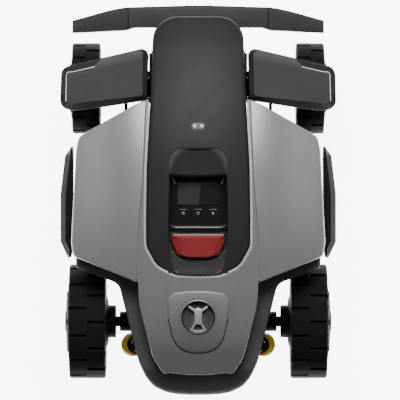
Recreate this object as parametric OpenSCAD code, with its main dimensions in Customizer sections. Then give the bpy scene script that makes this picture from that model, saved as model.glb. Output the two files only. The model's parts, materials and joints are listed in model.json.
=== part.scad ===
// Four-wheel robotic lawn mower. +Y is forward, +X is the right-hand side, Z = 0 is the ground.

/* [Body] */
// Height of the centre spine at its highest point
body_h = 330; // [322:1:340]
// Drop of the spine from its top to the nose
nose_drop = 80; // [70:1:90]
// Drop of the centre line from its top to the rear edge of the deck
tail_drop = 95; // [90:1:98]
// Half width of the shell at its flanks
flank_x = 235; // [233:1:236]
// Wall thickness of the covers
wall = 3.5; // [3:0.5:4]

/* [Rear wheels] */
// Radius of a rear wheel over its lugs
rear_r = 109; // [107:1:110]
// Width of a rear tyre
rear_w = 70; // [66:1:72]
// Distance from the centre line to the middle of a rear tyre
rear_x = 211; // [210:1:214]
// Place of the rear axle along the machine
rear_y = -231; // [-234:1:-228]

/* [Front wheels] */
// Radius of a front wheel over its lugs
front_r = 87; // [85:1:88]
// Width of a front tyre
front_w = 54; // [50:1:56]
// Distance from the centre line to the middle of a front tyre
front_x = 214; // [212:1:216]
// Place of the front axle along the machine
front_y = 215; // [213:1:217]

/* [Tyres] */
// Lugs in one row of a tyre
lugs = 13; // [11:1:15]
// Height of a lug above the casing
lug_h = 7; // [5:0.5:8]

/* [Cutting unit] */
// Radius that the blade tips reach
blade_reach = 84; // [80:1:85]
// Distance from the centre line to a blade spindle
spindle_x = 100; // [98:1:102]
// Height of the blades above the ground at rest
cut_z = 42; // [40:1:46]

/* [Hidden] */
$fn = 64;
eps = 0.01;
gap = 0.6;                       // clearance between covers
run = 0.05;                      // radial clearance of a shaft that turns in its bore
top_y = 40;                      // where the spine is highest
nose_y = 346;                    // front of the spine
deck_end_y = -328;               // rear edge of the grey deck
tail_y = -369.5;                 // rear of the skirt
spine_end_y = -141;              // rear end of the dark spine
bumper_y = 369.5;                // front of the bumper bar
spine_x = 97;                    // half width of the spine where it is widest
pan_z0 = 62;                     // underside of the base pan
pan_z1 = 192;                    // rim of the base pan
pan_rear_x = 104;                // half width of the pan between the rear wheels
pan_front_y = 322;
panel_hem = 241;                 // lower edge of a side panel's rear wall, over the skirt's roof
trough_x = 56;                   // half width of the control trough
glass_z = 276;                   // face of the display and of the keys
key_xs = [-28, 0, 28];
sensor_y = 139;
lens_xs = [-42, 42];
lens_z = 215;
tongue_xs = [-60, 60];           // tongues that carry the front bumper
bolt_xs = [-60, 60];
bolt_ys = [-160, 112, 305];
board_xs = [-50, 50];            // posts of the controller board
board_ys = [-60, 34];
pivot_x = 100;                   // suspension pivot
pivot_z = 165;
hinge_r = 9;                     // outside of the hinge's knuckles
pin_r = 5;                       // hinge pins and the guide rods of the cutting deck
arm_z = 187;                     // underside of the arm over the wheel
arm_top_z = 202;
king_r = 8;                      // steering spindle
rear_axle_r = 10;
disc_y = -10;                    // blade spindles along the machine
blades = 3;                      // on one disc
blade_pin_r = blade_reach - 22;
guide_xs = [-70, 70];            // guide rods of the cutting deck
screw_r = 6;
dial_shaft_r = 5;
dial_teeth = 36;
screw_teeth = 52;
gear_m = 2;                      // module of both gears
dial_y = -220;                   // dial's shaft
screw_y = dial_y + (dial_teeth + screw_teeth) * gear_m / 2;
gear_z = 196;                    // underside of the two lift gears
roller_at = [125, -276, 85];     // middle of the right guide roller
roller_lean = 22;                // lean of its axis towards the centre line
dial_z = 304;                    // middle of the dial's bezel
bowl_z = 288;                    // floor of the dial's bowl
roller_pin_r = 4;
stem_z = 174;                    // stems of the side bumpers
stem_ys = [-62, 58];

function front_at(side) = [side * front_x, front_y, front_r];
function rear_at(side) = [side * rear_x, rear_y, rear_r];

// ---------------------------------------------------------------- curves and outlines

// Height of the centre line at y: it falls ahead of the top, and behind it gently, then fast at the end.
function crest(y) = body_h - (y > top_y
    ? nose_drop * pow((y - top_y) / (nose_y - top_y), 2)
    : let (u = (top_y - y) / (top_y - deck_end_y)) tail_drop * (0.53 * pow(u, 2) + 0.47 * pow(u, 12)));

// Slope of the centre line at y, between two points d ahead of it and d behind it.
function slope_at(y, d) = atan((crest(y + d) - crest(y - d)) / (2 * d));
deck_slope = slope_at(dial_y, 50);

function unit(v) = v / norm(v);

// Points of an arc that rounds the corner p, between its neighbours a and b, with radius r.
function corner(a, p, b, r, n) =
    let (u = unit(a - p), v = unit(b - p), half = acos(u * v) / 2,
         from = p + u * r / tan(half), to = p + v * r / tan(half),
         c = p + unit(u + v) * r / sin(half),
         a0 = atan2(from.y - c.y, from.x - c.x),
         turn = atan2(to.y - c.y, to.x - c.x) - a0,
         sweep = turn > 180 ? turn - 360 : turn < -180 ? turn + 360 : turn)
    [for (i = [0:n]) c + r * [cos(a0 + sweep * i / n), sin(a0 + sweep * i / n)]];

// A closed outline of [x, y, radius] corners, with radius 0 for a sharp one.
function rounded(path, n = 5) = [
    for (i = [0:len(path) - 1])
        let (p = path[i], a = path[(i + len(path) - 1) % len(path)], b = path[(i + 1) % len(path)])
        each p[2] > 0 ? corner([a.x, a.y], [p.x, p.y], [b.x, b.y], p[2], n) : [[p.x, p.y]]];

// Both halves of an outline given by its right half, from front to rear.
function both(half) = concat(half, [for (i = [len(half) - 1:-1:0]) [-half[i].x, half[i].y, half[i][2]]]);

// Plan of the spine, grown by d.
function spine_plan(d = 0) = rounded(both([
    [86 + d, nose_y + d, 48], [spine_x - 1 + d, 60, 0], [spine_x + d, -80, 45],
    [75 + d, -122 - d, 50], [48 + d, spine_end_y - d, 40]]), 8);

// Plan of the grey centre shell, grown by d.
function shell_plan(d = 0) = rounded(both([
    [96 + d, 186, 0], [103 + d, 40, 60], [112 + d, -60, 60], [112 + d, -200, 120],
    [86 + d, -300, 60], [62 + d, deck_end_y - d, 22]]), 6);

// Plan of the dark skirt behind the flanks, grown by d.
function skirt_plan(d = 0) = rounded(both([
    [231 + d, -96, 0], [231 + d, -129 - d, 6], [148 + d, -160 - d, 22], [137 + d, -205, 30],
    [112 + d, -306, 60], [85 + d, -352 - d / 2, 40], [50 + d / 2, tail_y - d, 40]]), 6);

// Plan of the base pan, grown by d.
function pan_plan(d = 0) = rounded(both([
    [84 + d, pan_front_y + d, 22], [84 + d, 112 + d, 14], [150 + d, 103 + d, 10], [224 + d, 90 + d, 14],
    [226 + d, -112 - d, 14], [pan_rear_x + d, -112 - d, 14], [pan_rear_x + d, -270, 60],
    [70 + d / 2, -350 - d, 50]]), 5);

module prism(points, z0, z1) {
    translate([0, 0, z0]) linear_extrude(z1 - z0) polygon(points);
}

// A slice extruded across the machine, from a profile of [y, z] points.
module across(points, half_w) {
    rotate([90, 0, 90]) translate([0, 0, -half_w]) linear_extrude(2 * half_w) polygon(points);
}

// Everything below the centre line's curve less drop, and above z = floor_z.
module under_crest(drop, floor_z, y0 = -380, y1 = 350, half_w = 150) {
    n = 22;
    across(concat([for (i = [0:n]) let (y = y0 + (y1 - y0) * i / n) [y, crest(y) - drop]],
                  [[y1, floor_z], [y0, floor_z]]), half_w);
}

module mirrored(side) {
    if (side < 0) mirror([1, 0, 0]) children(); else children();
}

// A closed skin between two grids of the same size: rows of [x, y, z] points.
module skin(outer, inner) {
    rows = len(outer);
    cols = len(outer[0]);
    flat = concat([for (r = outer) each r], [for (r = inner) each r]);
    half = rows * cols;
    faces = concat(
        [for (i = [0:rows - 2], j = [0:cols - 2]) each
            let (a = i * cols + j, b = a + 1, c = a + cols + 1, d = a + cols)
            [[a, b, c], [a, c, d], [half + a, half + c, half + b], [half + a, half + d, half + c]]],
        [for (j = [0:cols - 2]) each
            let (a = j, b = j + 1, c = (rows - 1) * cols + j, d = c + 1)
            [[a, half + b, b], [a, half + a, half + b], [c, d, half + d], [c, half + d, half + c]]],
        [for (i = [0:rows - 2]) each
            let (a = i * cols, b = a + cols, c = a + cols - 1, d = c + cols)
            [[a, b, half + b], [a, half + b, half + a], [c, half + d, d], [c, half + c, half + d]]]);
    polyhedron(flat, faces);
}

// ---------------------------------------------------------------- covers

// Inner edge of a side panel, beside the centre shell, at y.
function panel_in(y) = y > 40 ? 96.6 + 7 * min(1, (186 - y) / 146)
    : y > -60 ? 103.6 + (40 - y) * 0.09
    : 112.6;
function panel_front(x) = 190 - (x - 90) * 0.53;
function panel_rear(x) = -157 + (x - 112) * 0.40;
// Height of a side panel's top at x, y: it falls outwards, and faster towards the rear.
function panel_top(x, y) = crest(y) - 9 - 55 * pow((x - 90) / 145, 2)
    - (y < 20 ? 13 * pow((20 - y) / 175, 2) : 0);
// Lower edge of the flank: it arches over the wheels.
function flank_z(y) = 200 + 12 * pow(max(0, y - 40) / 80, 2) + 16 * pow(max(0, -y - 40) / 70, 2);

// One point of the panel's grid. s runs outwards and down the flank. t runs up the rear wall, forwards
// and down the front wall. inset moves the point to the inside of the panel's thickness.
function panel_point(s, t, inset) =
    let (over = min(1, s / 0.72), down = max(0, (s - 0.72) / 0.28),
         x = 97 + (flank_x - 97 - inset) * (sin(over * 90) * 0.35 + over * 0.65),
         lap = max(0, t - 0.88) / 0.12,
         tail = max(0, 0.12 - t) / 0.12,
         tt = min(1, max(0, t - 0.12) / 0.76),
         y0 = panel_rear(x) + inset,
         y1 = panel_front(x) - inset,
         y = y0 + (y1 - y0) * tt,
         xx = max(x, panel_in(y)),
         top = panel_top(xx, y) - inset - 10 * pow(over, 8) - 5 * pow(tt, 16),
         low = flank_z(y),
         z = top + (low - top) * max(down, lap * 0.999))
    [xx - 3 * (1 - lap) * down, y, z + (min(z, panel_hem) - z) * tail * 0.999];

module side_panel(side) {
    cols = 18;
    rows = 18;
    grid = function (inset) [for (i = [0:rows]) [for (j = [0:cols]) panel_point(j / cols, i / rows, inset)]];
    color("#8f9091") mirrored(side) skin(grid(0), grid(wall));
}

// Lower edge of the deck's walls, where they sit in the skirt.
function deck_hem(y) = 240 - 0.5 * max(0, -240 - y);

module centre_shell() {
    color("#8a8b8c") difference() {
        intersection() {
            prism(shell_plan(0), 100, 360);
            under_crest(2, 120, -340, 200);
        }
        intersection() {
            prism(shell_plan(-wall), 90, 360);
            under_crest(2 + wall, 100, -330, 186, 110);
        }
        prism(spine_plan(gap), 90, 360);
        // the walls reach down only as far as the flanks and the skirt need
        under_crest(34, 90, -150, 210, 140);
        across([[-345, 90], [-345, deck_hem(-345)], [-240, deck_hem(-240)], [-149, deck_hem(-149)],
                [-149, 90]], 140);
        translate([0, dial_y, dial_z]) {
            rotate([deck_slope, 0, 0]) prism(bezel_plan(gap), -20, 40);
        }
    }
}

// Height of the control trough's floor at y.
function floor_z(y) = 267 + (y + 139) / 45;

// The trough: a ramp at the front, a step, the floor, and a ramp that runs out at the spine's end.
module trough_cut(half_w, drop) {
    intersection() {
        across([[100, crest(98) + 20], [98, crest(98) - drop], [42 + drop, 302 - drop],
                [39 + drop, floor_z(39) - drop],
                [-108, floor_z(-108) - drop], [-134, 296 - drop], [-160, 345]], half_w);
        prism(rounded([[-half_w, 98, 24], [half_w, 98, 24], [half_w, -170, 0], [-half_w, -170, 0]], 8),
              200, 380);
    }
}

module spine_cover() {
    color("#3a3a3b") {
        difference() {
            intersection() {
                prism(spine_plan(0), 150, 360);
                under_crest(0, 150, -150, 350);
            }
            difference() {
                intersection() {
                    prism(spine_plan(-wall), 100, 360);
                    under_crest(wall, 90, -150, 350);
                }
                trough_cut(trough_x + wall, wall);
            }
            trough_cut(trough_x, 0);
            // the walls end above the flanks, the pan and the nose fascia
            across([[120, 140], [120, 284], [150, 284], [200, 197], [300, 197], [310, 228], [360, 228],
                    [360, 140]], 120);
            for (side = [-1, 1]) mirrored(side)
                translate([trough_x + wall + 1, -160, 140]) cube([60, 290, 144]);
            translate([-80, -160, 140]) cube([160, 23, 144]);
            translate([-80, -160, 140]) cube([160, 60, 112]);
            translate([-42, -46, 250]) cube([84, 74, 24]);
            translate([-12, -96, 250]) cube([24, 24, 24]);
        }
        // posts for the controller board
        for (x = board_xs, y = board_ys) translate([x, y, 226]) cylinder(r = 4, h = floor_z(y) - wall - 225);
    }
}

module nose_fascia() {
    color("#111214") difference() {
        prism(spine_plan(-0.5), 203, 227.5);
        prism(spine_plan(-4.5), 200, 230);
        translate([-120, -400, 190]) cube([240, 710.6, 60]);
        for (x = lens_xs) translate([x, 300, lens_z]) rotate([-90, 0, 0]) cylinder(r = 8.05, h = 60);
    }
}

module camera_lenses() {
    color("#0b0d12") for (x = lens_xs) translate([x, 334, lens_z]) rotate([-90, 0, 0]) {
        cylinder(r = 8, h = 9);
        translate([0, 0, 9]) cylinder(r1 = 8, r2 = 4, h = 2.5);
    }
}

// A pill-shaped plate with two electrodes, flat on the spine.
module rain_sensor() {
    color("#6f7072") translate([0, sensor_y, crest(sensor_y) + 0.1]) rotate([slope_at(sensor_y, 7), 0, 0]) {
        hull() for (x = [-6, 6]) translate([x, 0, 0]) cylinder(r = 6.5, h = 2);
        for (x = [-6.5, 6.5]) translate([x, 0, 2 - eps]) cylinder(r1 = 2.4, r2 = 2, h = 0.8);
    }
}

module console_panel() {
    color("#17181a") difference() {
        across([[-51, floor_z(-51)], [37, floor_z(37)], [37, glass_z + 0.6], [-51, glass_z - 0.6]], 53);
        translate([-39, -8, glass_z - 2.4]) cube([78, 41, 10]);
        for (x = key_xs) translate([x - 13.4, -31, 260]) cube([26.8, 22, 20]);
    }
}

module display_window() {
    color("#2b2c2f") translate([-38.8, -7.8, glass_z - 2.35]) cube([77.6, 40.6, 2.6]);
}

module key(i) {
    color("#141516") translate([key_xs[i] - 13, -30.6, glass_z - 9]) cube([26, 21.2, 9.4]);
}

module console_lip() {
    color("#9a9c9e") across([[-57, floor_z(-57)], [-52.6, floor_z(-52.6)], [-52.6, 277], [-53.5, 279.5],
                             [-57, 279.5]], 52);
}

module stop_button() {
    color("#a01218") {
        intersection() {
            across([[-62, 276], [-62, 287], [-65, 290], [-103, 284], [-107, 279], [-107, 276]], 60);
            prism([[-53, -62], [53, -62], [46, -84], [36, -104], [28, -107],
                   [-28, -107], [-36, -104], [-46, -84]], 260, 300);
        }
        translate([0, -84, 250]) cylinder(r = 9, h = 26 + eps);
    }
}

// Plan of the dial's bezel: square at the front, round at the rear.
function bezel_plan(d = 0) = rounded(both([
    [58.5 + d, 50 + d, 17], [55 + d, 0, 60], [49 + d, -64 - d, 46]]), 7);

module dial_bezel() {
    color("#7c7d7e") translate([0, dial_y, dial_z]) difference() {
        rotate([deck_slope, 0, 0]) hull() {
            prism(bezel_plan(0), -7, 0);
            prism(bezel_plan(-3), 1, 2.5);
        }
        translate([0, 0, bowl_z - dial_z]) cylinder(r = 33, h = 60);
        translate([0, 0, -80]) cylinder(r = 6, h = 100);
    }
    // cup of the bowl
    color("#3a3b3c") translate([0, dial_y, bowl_z - 3]) difference() {
        cylinder(r = 35, h = 12);
        translate([0, 0, 3]) cylinder(r = 32.6, h = 20);
        translate([0, 0, -1]) cylinder(r = dial_shaft_r + run, h = 20);
    }
}

module dial_grip() {
    color("#b9bbbd") translate([0, dial_y, bowl_z + 0.4]) difference() {
        union() {
            cylinder(r = 31, h = 3);
            for (a = [42, 138, 242, 298]) rotate(a) translate([0, -4, 2]) cube([31, 8, 15]);
            translate([-8, -17, 2]) cube([16, 34, 17]);
        }
        translate([0, 0, -2]) cylinder(r = dial_shaft_r, h = 12);
    }
}

// Straight-flanked gear teeth, thin enough to run with play.
function gear_plan(teeth, shift = 0) = let (r = teeth * gear_m / 2, step = 360 / teeth) [
    for (i = [0:teeth - 1]) each
        let (a = (i + shift) * step)
        [for (p = [[-0.36, -1.2], [-0.20, 0], [-0.10, 0.8], [0.10, 0.8], [0.20, 0], [0.36, -1.2]])
            let (rr = r + p[1] * gear_m) [rr * cos(a + p[0] * step), rr * sin(a + p[0] * step)]]];

module dial_shaft() {
    color("#8f979c") translate([0, dial_y, gear_z]) {
        translate([0, 0, -10]) cylinder(r = dial_shaft_r, h = bowl_z + 20 - gear_z);
        rotate(90) linear_extrude(8) polygon(gear_plan(dial_teeth));
    }
}

module lift_screw() {
    color("#9aa1a6") translate([0, screw_y, 0]) {
        translate([0, 0, 72]) cylinder(r = screw_r, h = gear_z - 60);
        translate([0, 0, gear_z]) rotate(-90) linear_extrude(8) polygon(gear_plan(screw_teeth, 0.5));
    }
}

// ---------------------------------------------------------------- chassis

// The pan's outside, or its inside when d is negative: its rim drops towards the tail.
module pan_body(d, z0, rise) {
    intersection() {
        prism(pan_plan(d), z0, 260);
        across([[-380, z0], [-380, 160 + rise], [-330, 168 + rise], [-240, pan_z1 + rise],
                [350, pan_z1 + rise], [350, z0]], 240);
    }
}

module base_pan() {
    color("#2b2c2d") {
        difference() {
            pan_body(0, pan_z0, 0);
            pan_body(-4, pan_z0 + 6, 1);
            // opening for the cutting deck
            prism(rounded(both([[198, 84, 16], [198, -104, 16]])), pan_z0 - 1, pan_z0 + 10);
            // windows for the front bumper's tongues
            for (x = tongue_xs) translate([x - 13, 300, 168]) cube([26, 60, 16]);
            for (x = bolt_xs, y = bolt_ys) translate([x, y, pan_z0 - 1]) {
                cylinder(r = 2.6, h = 12);
                cylinder(r = 5, h = 3.4);
            }
            for (y = stem_ys) translate([-240, y, stem_z]) rotate([0, 90, 0]) cylinder(r = 4 + run, h = 480);
        }
        // guide rods of the cutting deck, and the bridge that carries the lift screw and the dial's shaft
        for (x = guide_xs) translate([x, screw_y, pan_z0 + 5]) cylinder(r = pin_r, h = 104);
        difference() {
            union() {
                translate([-12, dial_y - 14, 180]) cube([24, screw_y - dial_y + 26, 6]);
                translate([-12, dial_y - 14, pan_z0 + 5]) cube([24, 5, 116]);
                translate([-12, screw_y - 34, pan_z0 + 5]) cube([24, 5, 116]);
            }
            translate([0, screw_y, 170]) cylinder(r = screw_r + run, h = 30);
            translate([0, dial_y, 170]) cylinder(r = dial_shaft_r + run, h = 30);
        }
        // brackets and pins of the guide rollers
        for (side = [-1, 1]) {
            mirrored(side) translate([roller_at.x - 44, roller_at.y - 8, pan_z0]) cube([60, 16, 5]);
            roller_axis(side) translate([0, 0, -21]) cylinder(r = roller_pin_r, h = 26);
        }
    }
}

// Profile of the skirt's roof and of its lower edge, from the tail forwards.
function skirt_profile(d) = concat(
    [[-390, 78 - 3 * d], [-390, 110], [-369 + d, 172], [-352 + d, 206 - d], [-322 + d, 231 - d],
     [-240, 234.5 - d], [-90, 238 - d]],
    d > 0 ? [[-70, 60]] : [[-90, 208], [-150, 200], [-200, 184], [-250, 134], [-300, 108], [-324, 78]]);

module base_skirt() {
    color("#333435") difference() {
        intersection() {
            prism(skirt_plan(0), 60, 300);
            across(skirt_profile(0), 240);
        }
        intersection() {
            prism(skirt_plan(-wall), 50, 310);
            across(skirt_profile(wall), 240);
        }
        // the deck's rear end drops into it
        intersection() {
            prism(shell_plan(gap), 60, 300);
            across([[-345, 300], [-345, deck_hem(-345) - gap], [-240, deck_hem(-240) - gap],
                    [-140, deck_hem(-140) - gap], [-140, 300]], 140);
        }
        prism(shell_plan(-9), 60, 300);
        // clear of the flanks
        for (side = [-1, 1]) mirrored(side)
            prism([[240, -60], [240, -113], [225, -113], [225, -105], [112, -152], [80, -152], [80, -60]],
                  60, 310);
    }
}

module rear_axle_beam() {
    color("#1a1a1b") for (side = [-1, 1])
        mirrored(side) translate([0, rear_y, rear_r]) rotate([0, 90, 0]) {
            translate([0, 0, pan_rear_x]) cylinder(r = 24, h = 5);
            translate([0, 0, pan_rear_x + 5 - eps]) cylinder(r = 19, h = 150 - pan_rear_x - 5);
            translate([0, 0, 149]) cylinder(r = rear_axle_r, h = 86);
        }
}

module front_cross_member() {
    color("#151516") for (side = [-1, 1]) mirrored(side) {
        difference() {
            union() {
                translate([84, 184, 140]) cube([5, 62, 44]);
                for (y = [184, 234]) {
                    translate([84, y, pivot_z - hinge_r]) cube([pivot_x - 84, 12, 2 * hinge_r]);
                    translate([pivot_x, y + 12, pivot_z]) rotate([90, 0, 0]) cylinder(r = hinge_r, h = 12);
                }
            }
            translate([pivot_x, 270, pivot_z]) rotate([90, 0, 0]) cylinder(r = pin_r, h = 100);
        }
        translate([pivot_x, 248, pivot_z]) rotate([90, 0, 0]) cylinder(r = pin_r, h = 66);
    }
}

module swing_arm(side) {
    color("#1b1c1d") mirrored(side) difference() {
        union() {
            translate([pivot_x, 233.5, pivot_z]) rotate([90, 0, 0]) cylinder(r = hinge_r, h = 37);
            // the arm climbs from its hinge to the seat over the wheel
            rotate([90, 0, 0]) translate([0, 0, -232]) linear_extrude(34)
                polygon([[pivot_x, 174], [112, 174], [140, arm_top_z], [front_x, arm_top_z], [front_x, arm_z],
                         [144, arm_z], [120, 158], [pivot_x, 156]]);
            translate([front_x, front_y, arm_z]) cylinder(r = 18, h = arm_top_z - arm_z);
            // steering motor
            translate([front_x, front_y, arm_top_z - eps]) cylinder(r = 16, h = 20);
        }
        translate([pivot_x, 300, pivot_z]) rotate([90, 0, 0]) cylinder(r = pin_r + run, h = 150);
        translate([front_x, front_y, 170]) cylinder(r = king_r + run, h = 46);
    }
}

// The steered leg: a yoke plate over the wheel, a leg down its inner side, and the stub axle.
module knuckle(side) {
    color("#202122") mirrored(side) translate([front_x, front_y, 0]) {
        translate([0, 0, arm_z - 1.5 - eps]) cylinder(r = king_r, h = 29);
        translate([0, 0, arm_z - 8]) cylinder(r = 15, h = 6.5);
        translate([-48, -14, arm_z - 8]) cube([48, 28, 6.5]);
        translate([-48, -14, front_r - 16]) cube([12, 28, arm_z - 8 - front_r + 16 + eps]);
        translate([-37, 0, front_r]) rotate([0, 90, 0]) cylinder(r = king_r, h = 55);
    }
}

// ---------------------------------------------------------------- wheels

// Outline of a row of lugs on a casing of radius r.
function tread_plan(r, shift) = let (step = 360 / lugs) [
    for (i = [0:lugs - 1]) each
        let (a = (i + shift) * step)
        [for (p = [[-0.43, 0], [-0.36, lug_h], [-0.12, lug_h], [0.12, lug_h], [0.36, lug_h], [0.43, 0]])
            [(r + p[1]) * cos(a + p[0] * step), (r + p[1]) * sin(a + p[0] * step)]]];

// A tyre about the X axis, with two staggered rows of lugs.
module tyre(at, r, w, side) {
    bore = r * 0.66;
    color("#1d1d1e") translate(at) mirrored(side) rotate([0, 90, 0]) difference() {
        union() {
            translate([0, 0, -w / 2]) cylinder(r = r - lug_h - 1, h = w);
            translate([0, 0, -w / 2 + 3]) linear_extrude(w / 2 - 3)
                polygon(tread_plan(r - lug_h, 0));
            linear_extrude(w / 2 - 3) polygon(tread_plan(r - lug_h, 0.5));
        }
        translate([0, 0, -w / 2 - 1]) cylinder(r = bore, h = w + 2);
    }
}

// Wheel centre with the hub motor's housing. boss is [radius, length] of the inner end.
module rim(at, r, w, side, axle_r, boss) {
    bore = r * 0.66;
    color("#2a2b2c") translate(at) mirrored(side) rotate([0, 90, 0]) difference() {
        union() {
            translate([0, 0, -w / 2 + 4]) cylinder(r = bore, h = w - 8);
            translate([0, 0, w / 2 - 4 - eps]) cylinder(r1 = bore - 2, r2 = bore * 0.55, h = 10);
            translate([0, 0, -w / 2 - 5]) cylinder(r1 = boss[0] + 8, r2 = bore - 6, h = 9 + eps);
            translate([0, 0, -w / 2 - 5 - boss[1]]) cylinder(r = boss[0], h = boss[1] + eps);
        }
        translate([0, 0, -w / 2 - 30]) cylinder(r = axle_r + run, h = w + 30 - 8);
    }
}

// ---------------------------------------------------------------- fenders and bumpers

function fender_plan(d = 0) = rounded([
    [97.5 + d, 191 + d, 8], [104 + d, 288 - d, 12], [258 - d, 248 - d, 20], [260 - d, 163 + d, 16]], 5);

module fender(side) {
    color("#353637") mirrored(side) {
        difference() {
            hull() {
                prism(fender_plan(3), 192, 196);
                prism(fender_plan(0), 202, 218);
                prism(fender_plan(8), 232, 235);
            }
            // hollow from below, over the arm and its motor
            hull() {
                prism(fender_plan(7), 180, 196);
                prism(fender_plan(4), 202, 217);
                prism(fender_plan(11), 227, 229);
            }
            // passage of the arm
            translate([90, 192, 180]) cube([50, 46, 24]);
            prism(light_band(0.3), 231, 240);
        }
        // pillars that stand on the arm
        for (x = [150, 178]) translate([x, 203, arm_top_z + eps]) cube([10, 24, 28]);
    }
}

// Plan of the light that follows the fender's outer front corner.
function light_band(d) = concat(
    rounded([[175, 262 + d - 8, 0], [246 + d, 243 + d - 8, 14], [248 + d, 180 - d, 0]], 5),
    rounded([[244 - d, 180 - d, 0], [242.5 - d, 239.5 - d - 8, 11], [175, 258 - d - 8, 0]], 5));

module fender_light(side) {
    color("#f4f4f4") mirrored(side) prism(light_band(0), 231.05, 235.3);
}

module front_bumper() {
    color("#3b3c3d") {
        difference() {
            prism(rounded(both([[0, bumper_y, 0], [84, 367.5, 150], [150, 362, 120], [238, 342, 4],
                                [241, 317, 4], [133, 322, 2], [126, 327, 2], [0, 329, 0]]), 5), 156, 200);
            // bevel along the front's upper edge
            across([[bumper_y - 12, 201], [bumper_y + 1, 188], [bumper_y + 1, 201]], 300);
        }
        for (x = tongue_xs) translate([x - 12, 306, 169]) cube([24, 24, 14]);
    }
}

module side_bumper(side) {
    color("#1c1d1e") mirrored(side) {
        difference() {
            prism([[237, 96], [240, 111], [250, 100], [259, 77], [262, 0], [262, -79], [254, -103],
                   [245, -111], [239, -96]], 150, 196);
            translate([248, -130, 198]) rotate([0, 30, 0]) cube([40, 260, 40]);
        }
        for (y = stem_ys) translate([217, y, stem_z]) rotate([0, 90, 0]) cylinder(r = 4, h = 26);
    }
}

// ---------------------------------------------------------------- cutting unit

module cutting_deck() {
    color("#2e2f30") {
        difference() {
            prism(rounded(both([[194, 80, 14], [194, -100, 14]])), 36, 76);
            prism(rounded(both([[190, 76, 11], [190, -96, 11]])), 30, 70);
            for (x = [-spindle_x, spindle_x]) translate([x, disc_y, 50]) cylinder(r = 20, h = 40);
            // notches where grass comes in at the front
            for (x = [-150:30:150]) translate([x - 9, 60, 20]) cube([18, 40, 34]);
        }
        // crossbar with the lift screw's nut, on two arms
        difference() {
            union() {
                translate([-82, screw_y - 12, 92]) cube([164, 20, 12]);
                for (x = [-40, 40]) {
                    translate([x - 5, -99, 76 - eps]) cube([10, 12, 28]);
                    translate([x - 5, screw_y, 92]) cube([10, -88 - screw_y, 12]);
                }
            }
            translate([0, screw_y, 80]) cylinder(r = screw_r + run, h = 30);
            for (x = guide_xs) translate([x, screw_y, 80]) cylinder(r = pin_r + run, h = 30);
        }
    }
}

module cutting_motor(side) {
    color("#5f6468") translate([side * spindle_x, disc_y, 0]) difference() {
        union() {
            translate([0, 0, 62]) cylinder(r = 20, h = 14 + eps);
            translate([0, 0, 76]) cylinder(r = 30, h = 40);
        }
        translate([0, 0, 50]) cylinder(r = 5 + run, h = 40);
    }
}

module blade_disc(side) {
    color("#b9bcbf") translate([side * spindle_x, disc_y, 0]) {
        difference() {
            translate([0, 0, cut_z + 3]) cylinder(r = 72, h = 4);
            for (i = [0:blades - 1]) rotate(i * 360 / blades + 30) translate([blade_pin_r, 0, 30])
                cylinder(r = 2.5 + run, h = 30);
            for (i = [0:blades - 1]) rotate(i * 360 / blades + 90) translate([44, 0, 30])
                cylinder(r = 12, h = 30);
        }
        translate([0, 0, cut_z + 7 - eps]) cylinder(r = 5, h = 36);
        translate([0, 0, cut_z + 7 - eps]) cylinder(r = 14, h = 10);
    }
}

// A razor blade with its shouldered pin, swung out along the disc's radius.
module blade(side, i) {
    color("#d5d7d9") translate([side * spindle_x, disc_y, 0]) rotate(i * 360 / blades + 30)
        translate([blade_pin_r, 0, 0]) {
            translate([0, 0, cut_z + 1])
                linear_extrude(1.2) polygon([[-9, -8], [18, -8], [22, -3], [22, 3], [18, 8], [-9, 8]]);
            translate([0, 0, cut_z - 1]) cylinder(r = 4.5, h = 2 + eps);
            translate([0, 0, cut_z]) cylinder(r = 2.5, h = 8);
            translate([0, 0, cut_z + 7.3]) cylinder(r = 4.5, h = 2);
        }
}

// ---------------------------------------------------------------- small and inner pieces

module battery_pack() {
    color("#404a52") translate([-62, 132, pan_z0 + 6.2]) {
        cube([124, 168, 84]);
        translate([42, -8, 30]) cube([40, 8 + eps, 24]);
    }
}

module controller_board() {
    color("#1e5a37") {
        difference() {
            translate([-56, -66, 224]) cube([112, 106, 2]);
            for (x = board_xs, y = board_ys) translate([x, y, 220]) cylinder(r = 2, h = 10);
        }
        translate([-30, -12, 226 - eps]) cube([46, 40, 9]);
        translate([-40, -50, 226 - eps]) cube([80, 22, 12]);
    }
}

module case_screws() {
    color("#6a6d70") for (x = bolt_xs, y = bolt_ys) translate([x, y, pan_z0 + 0.4]) {
        cylinder(r = 4.5, h = 2);
        translate([0, 0, 2 - eps]) cylinder(r = 2.5, h = 10);
    }
}

module charge_contacts() {
    color("#c9a24a") for (x = [-32, 32]) translate([x - 11, pan_front_y, 92]) cube([22, 2.5, 34]);
}

module roller_axis(side) {
    translate([side * roller_at.x, roller_at.y, roller_at.z]) rotate([0, -side * roller_lean, 0]) children();
}

module roller_tyre(side) {
    color("#c8921c") roller_axis(side) rotate_extrude()
        polygon([[15.5, -8], [21, -8], [23.2, -3], [23.2, 3], [21, 8], [15.5, 8]]);
}

module roller_hub(side) {
    color("#18181a") roller_axis(side) difference() {
        union() {
            translate([0, 0, -9]) cylinder(r = 15.5, h = 18);
            translate([0, 0, 9 - eps]) cylinder(r1 = 14, r2 = 7, h = 5);
        }
        translate([0, 0, -20]) cylinder(r = roller_pin_r + run, h = 26);
    }
}

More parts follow.
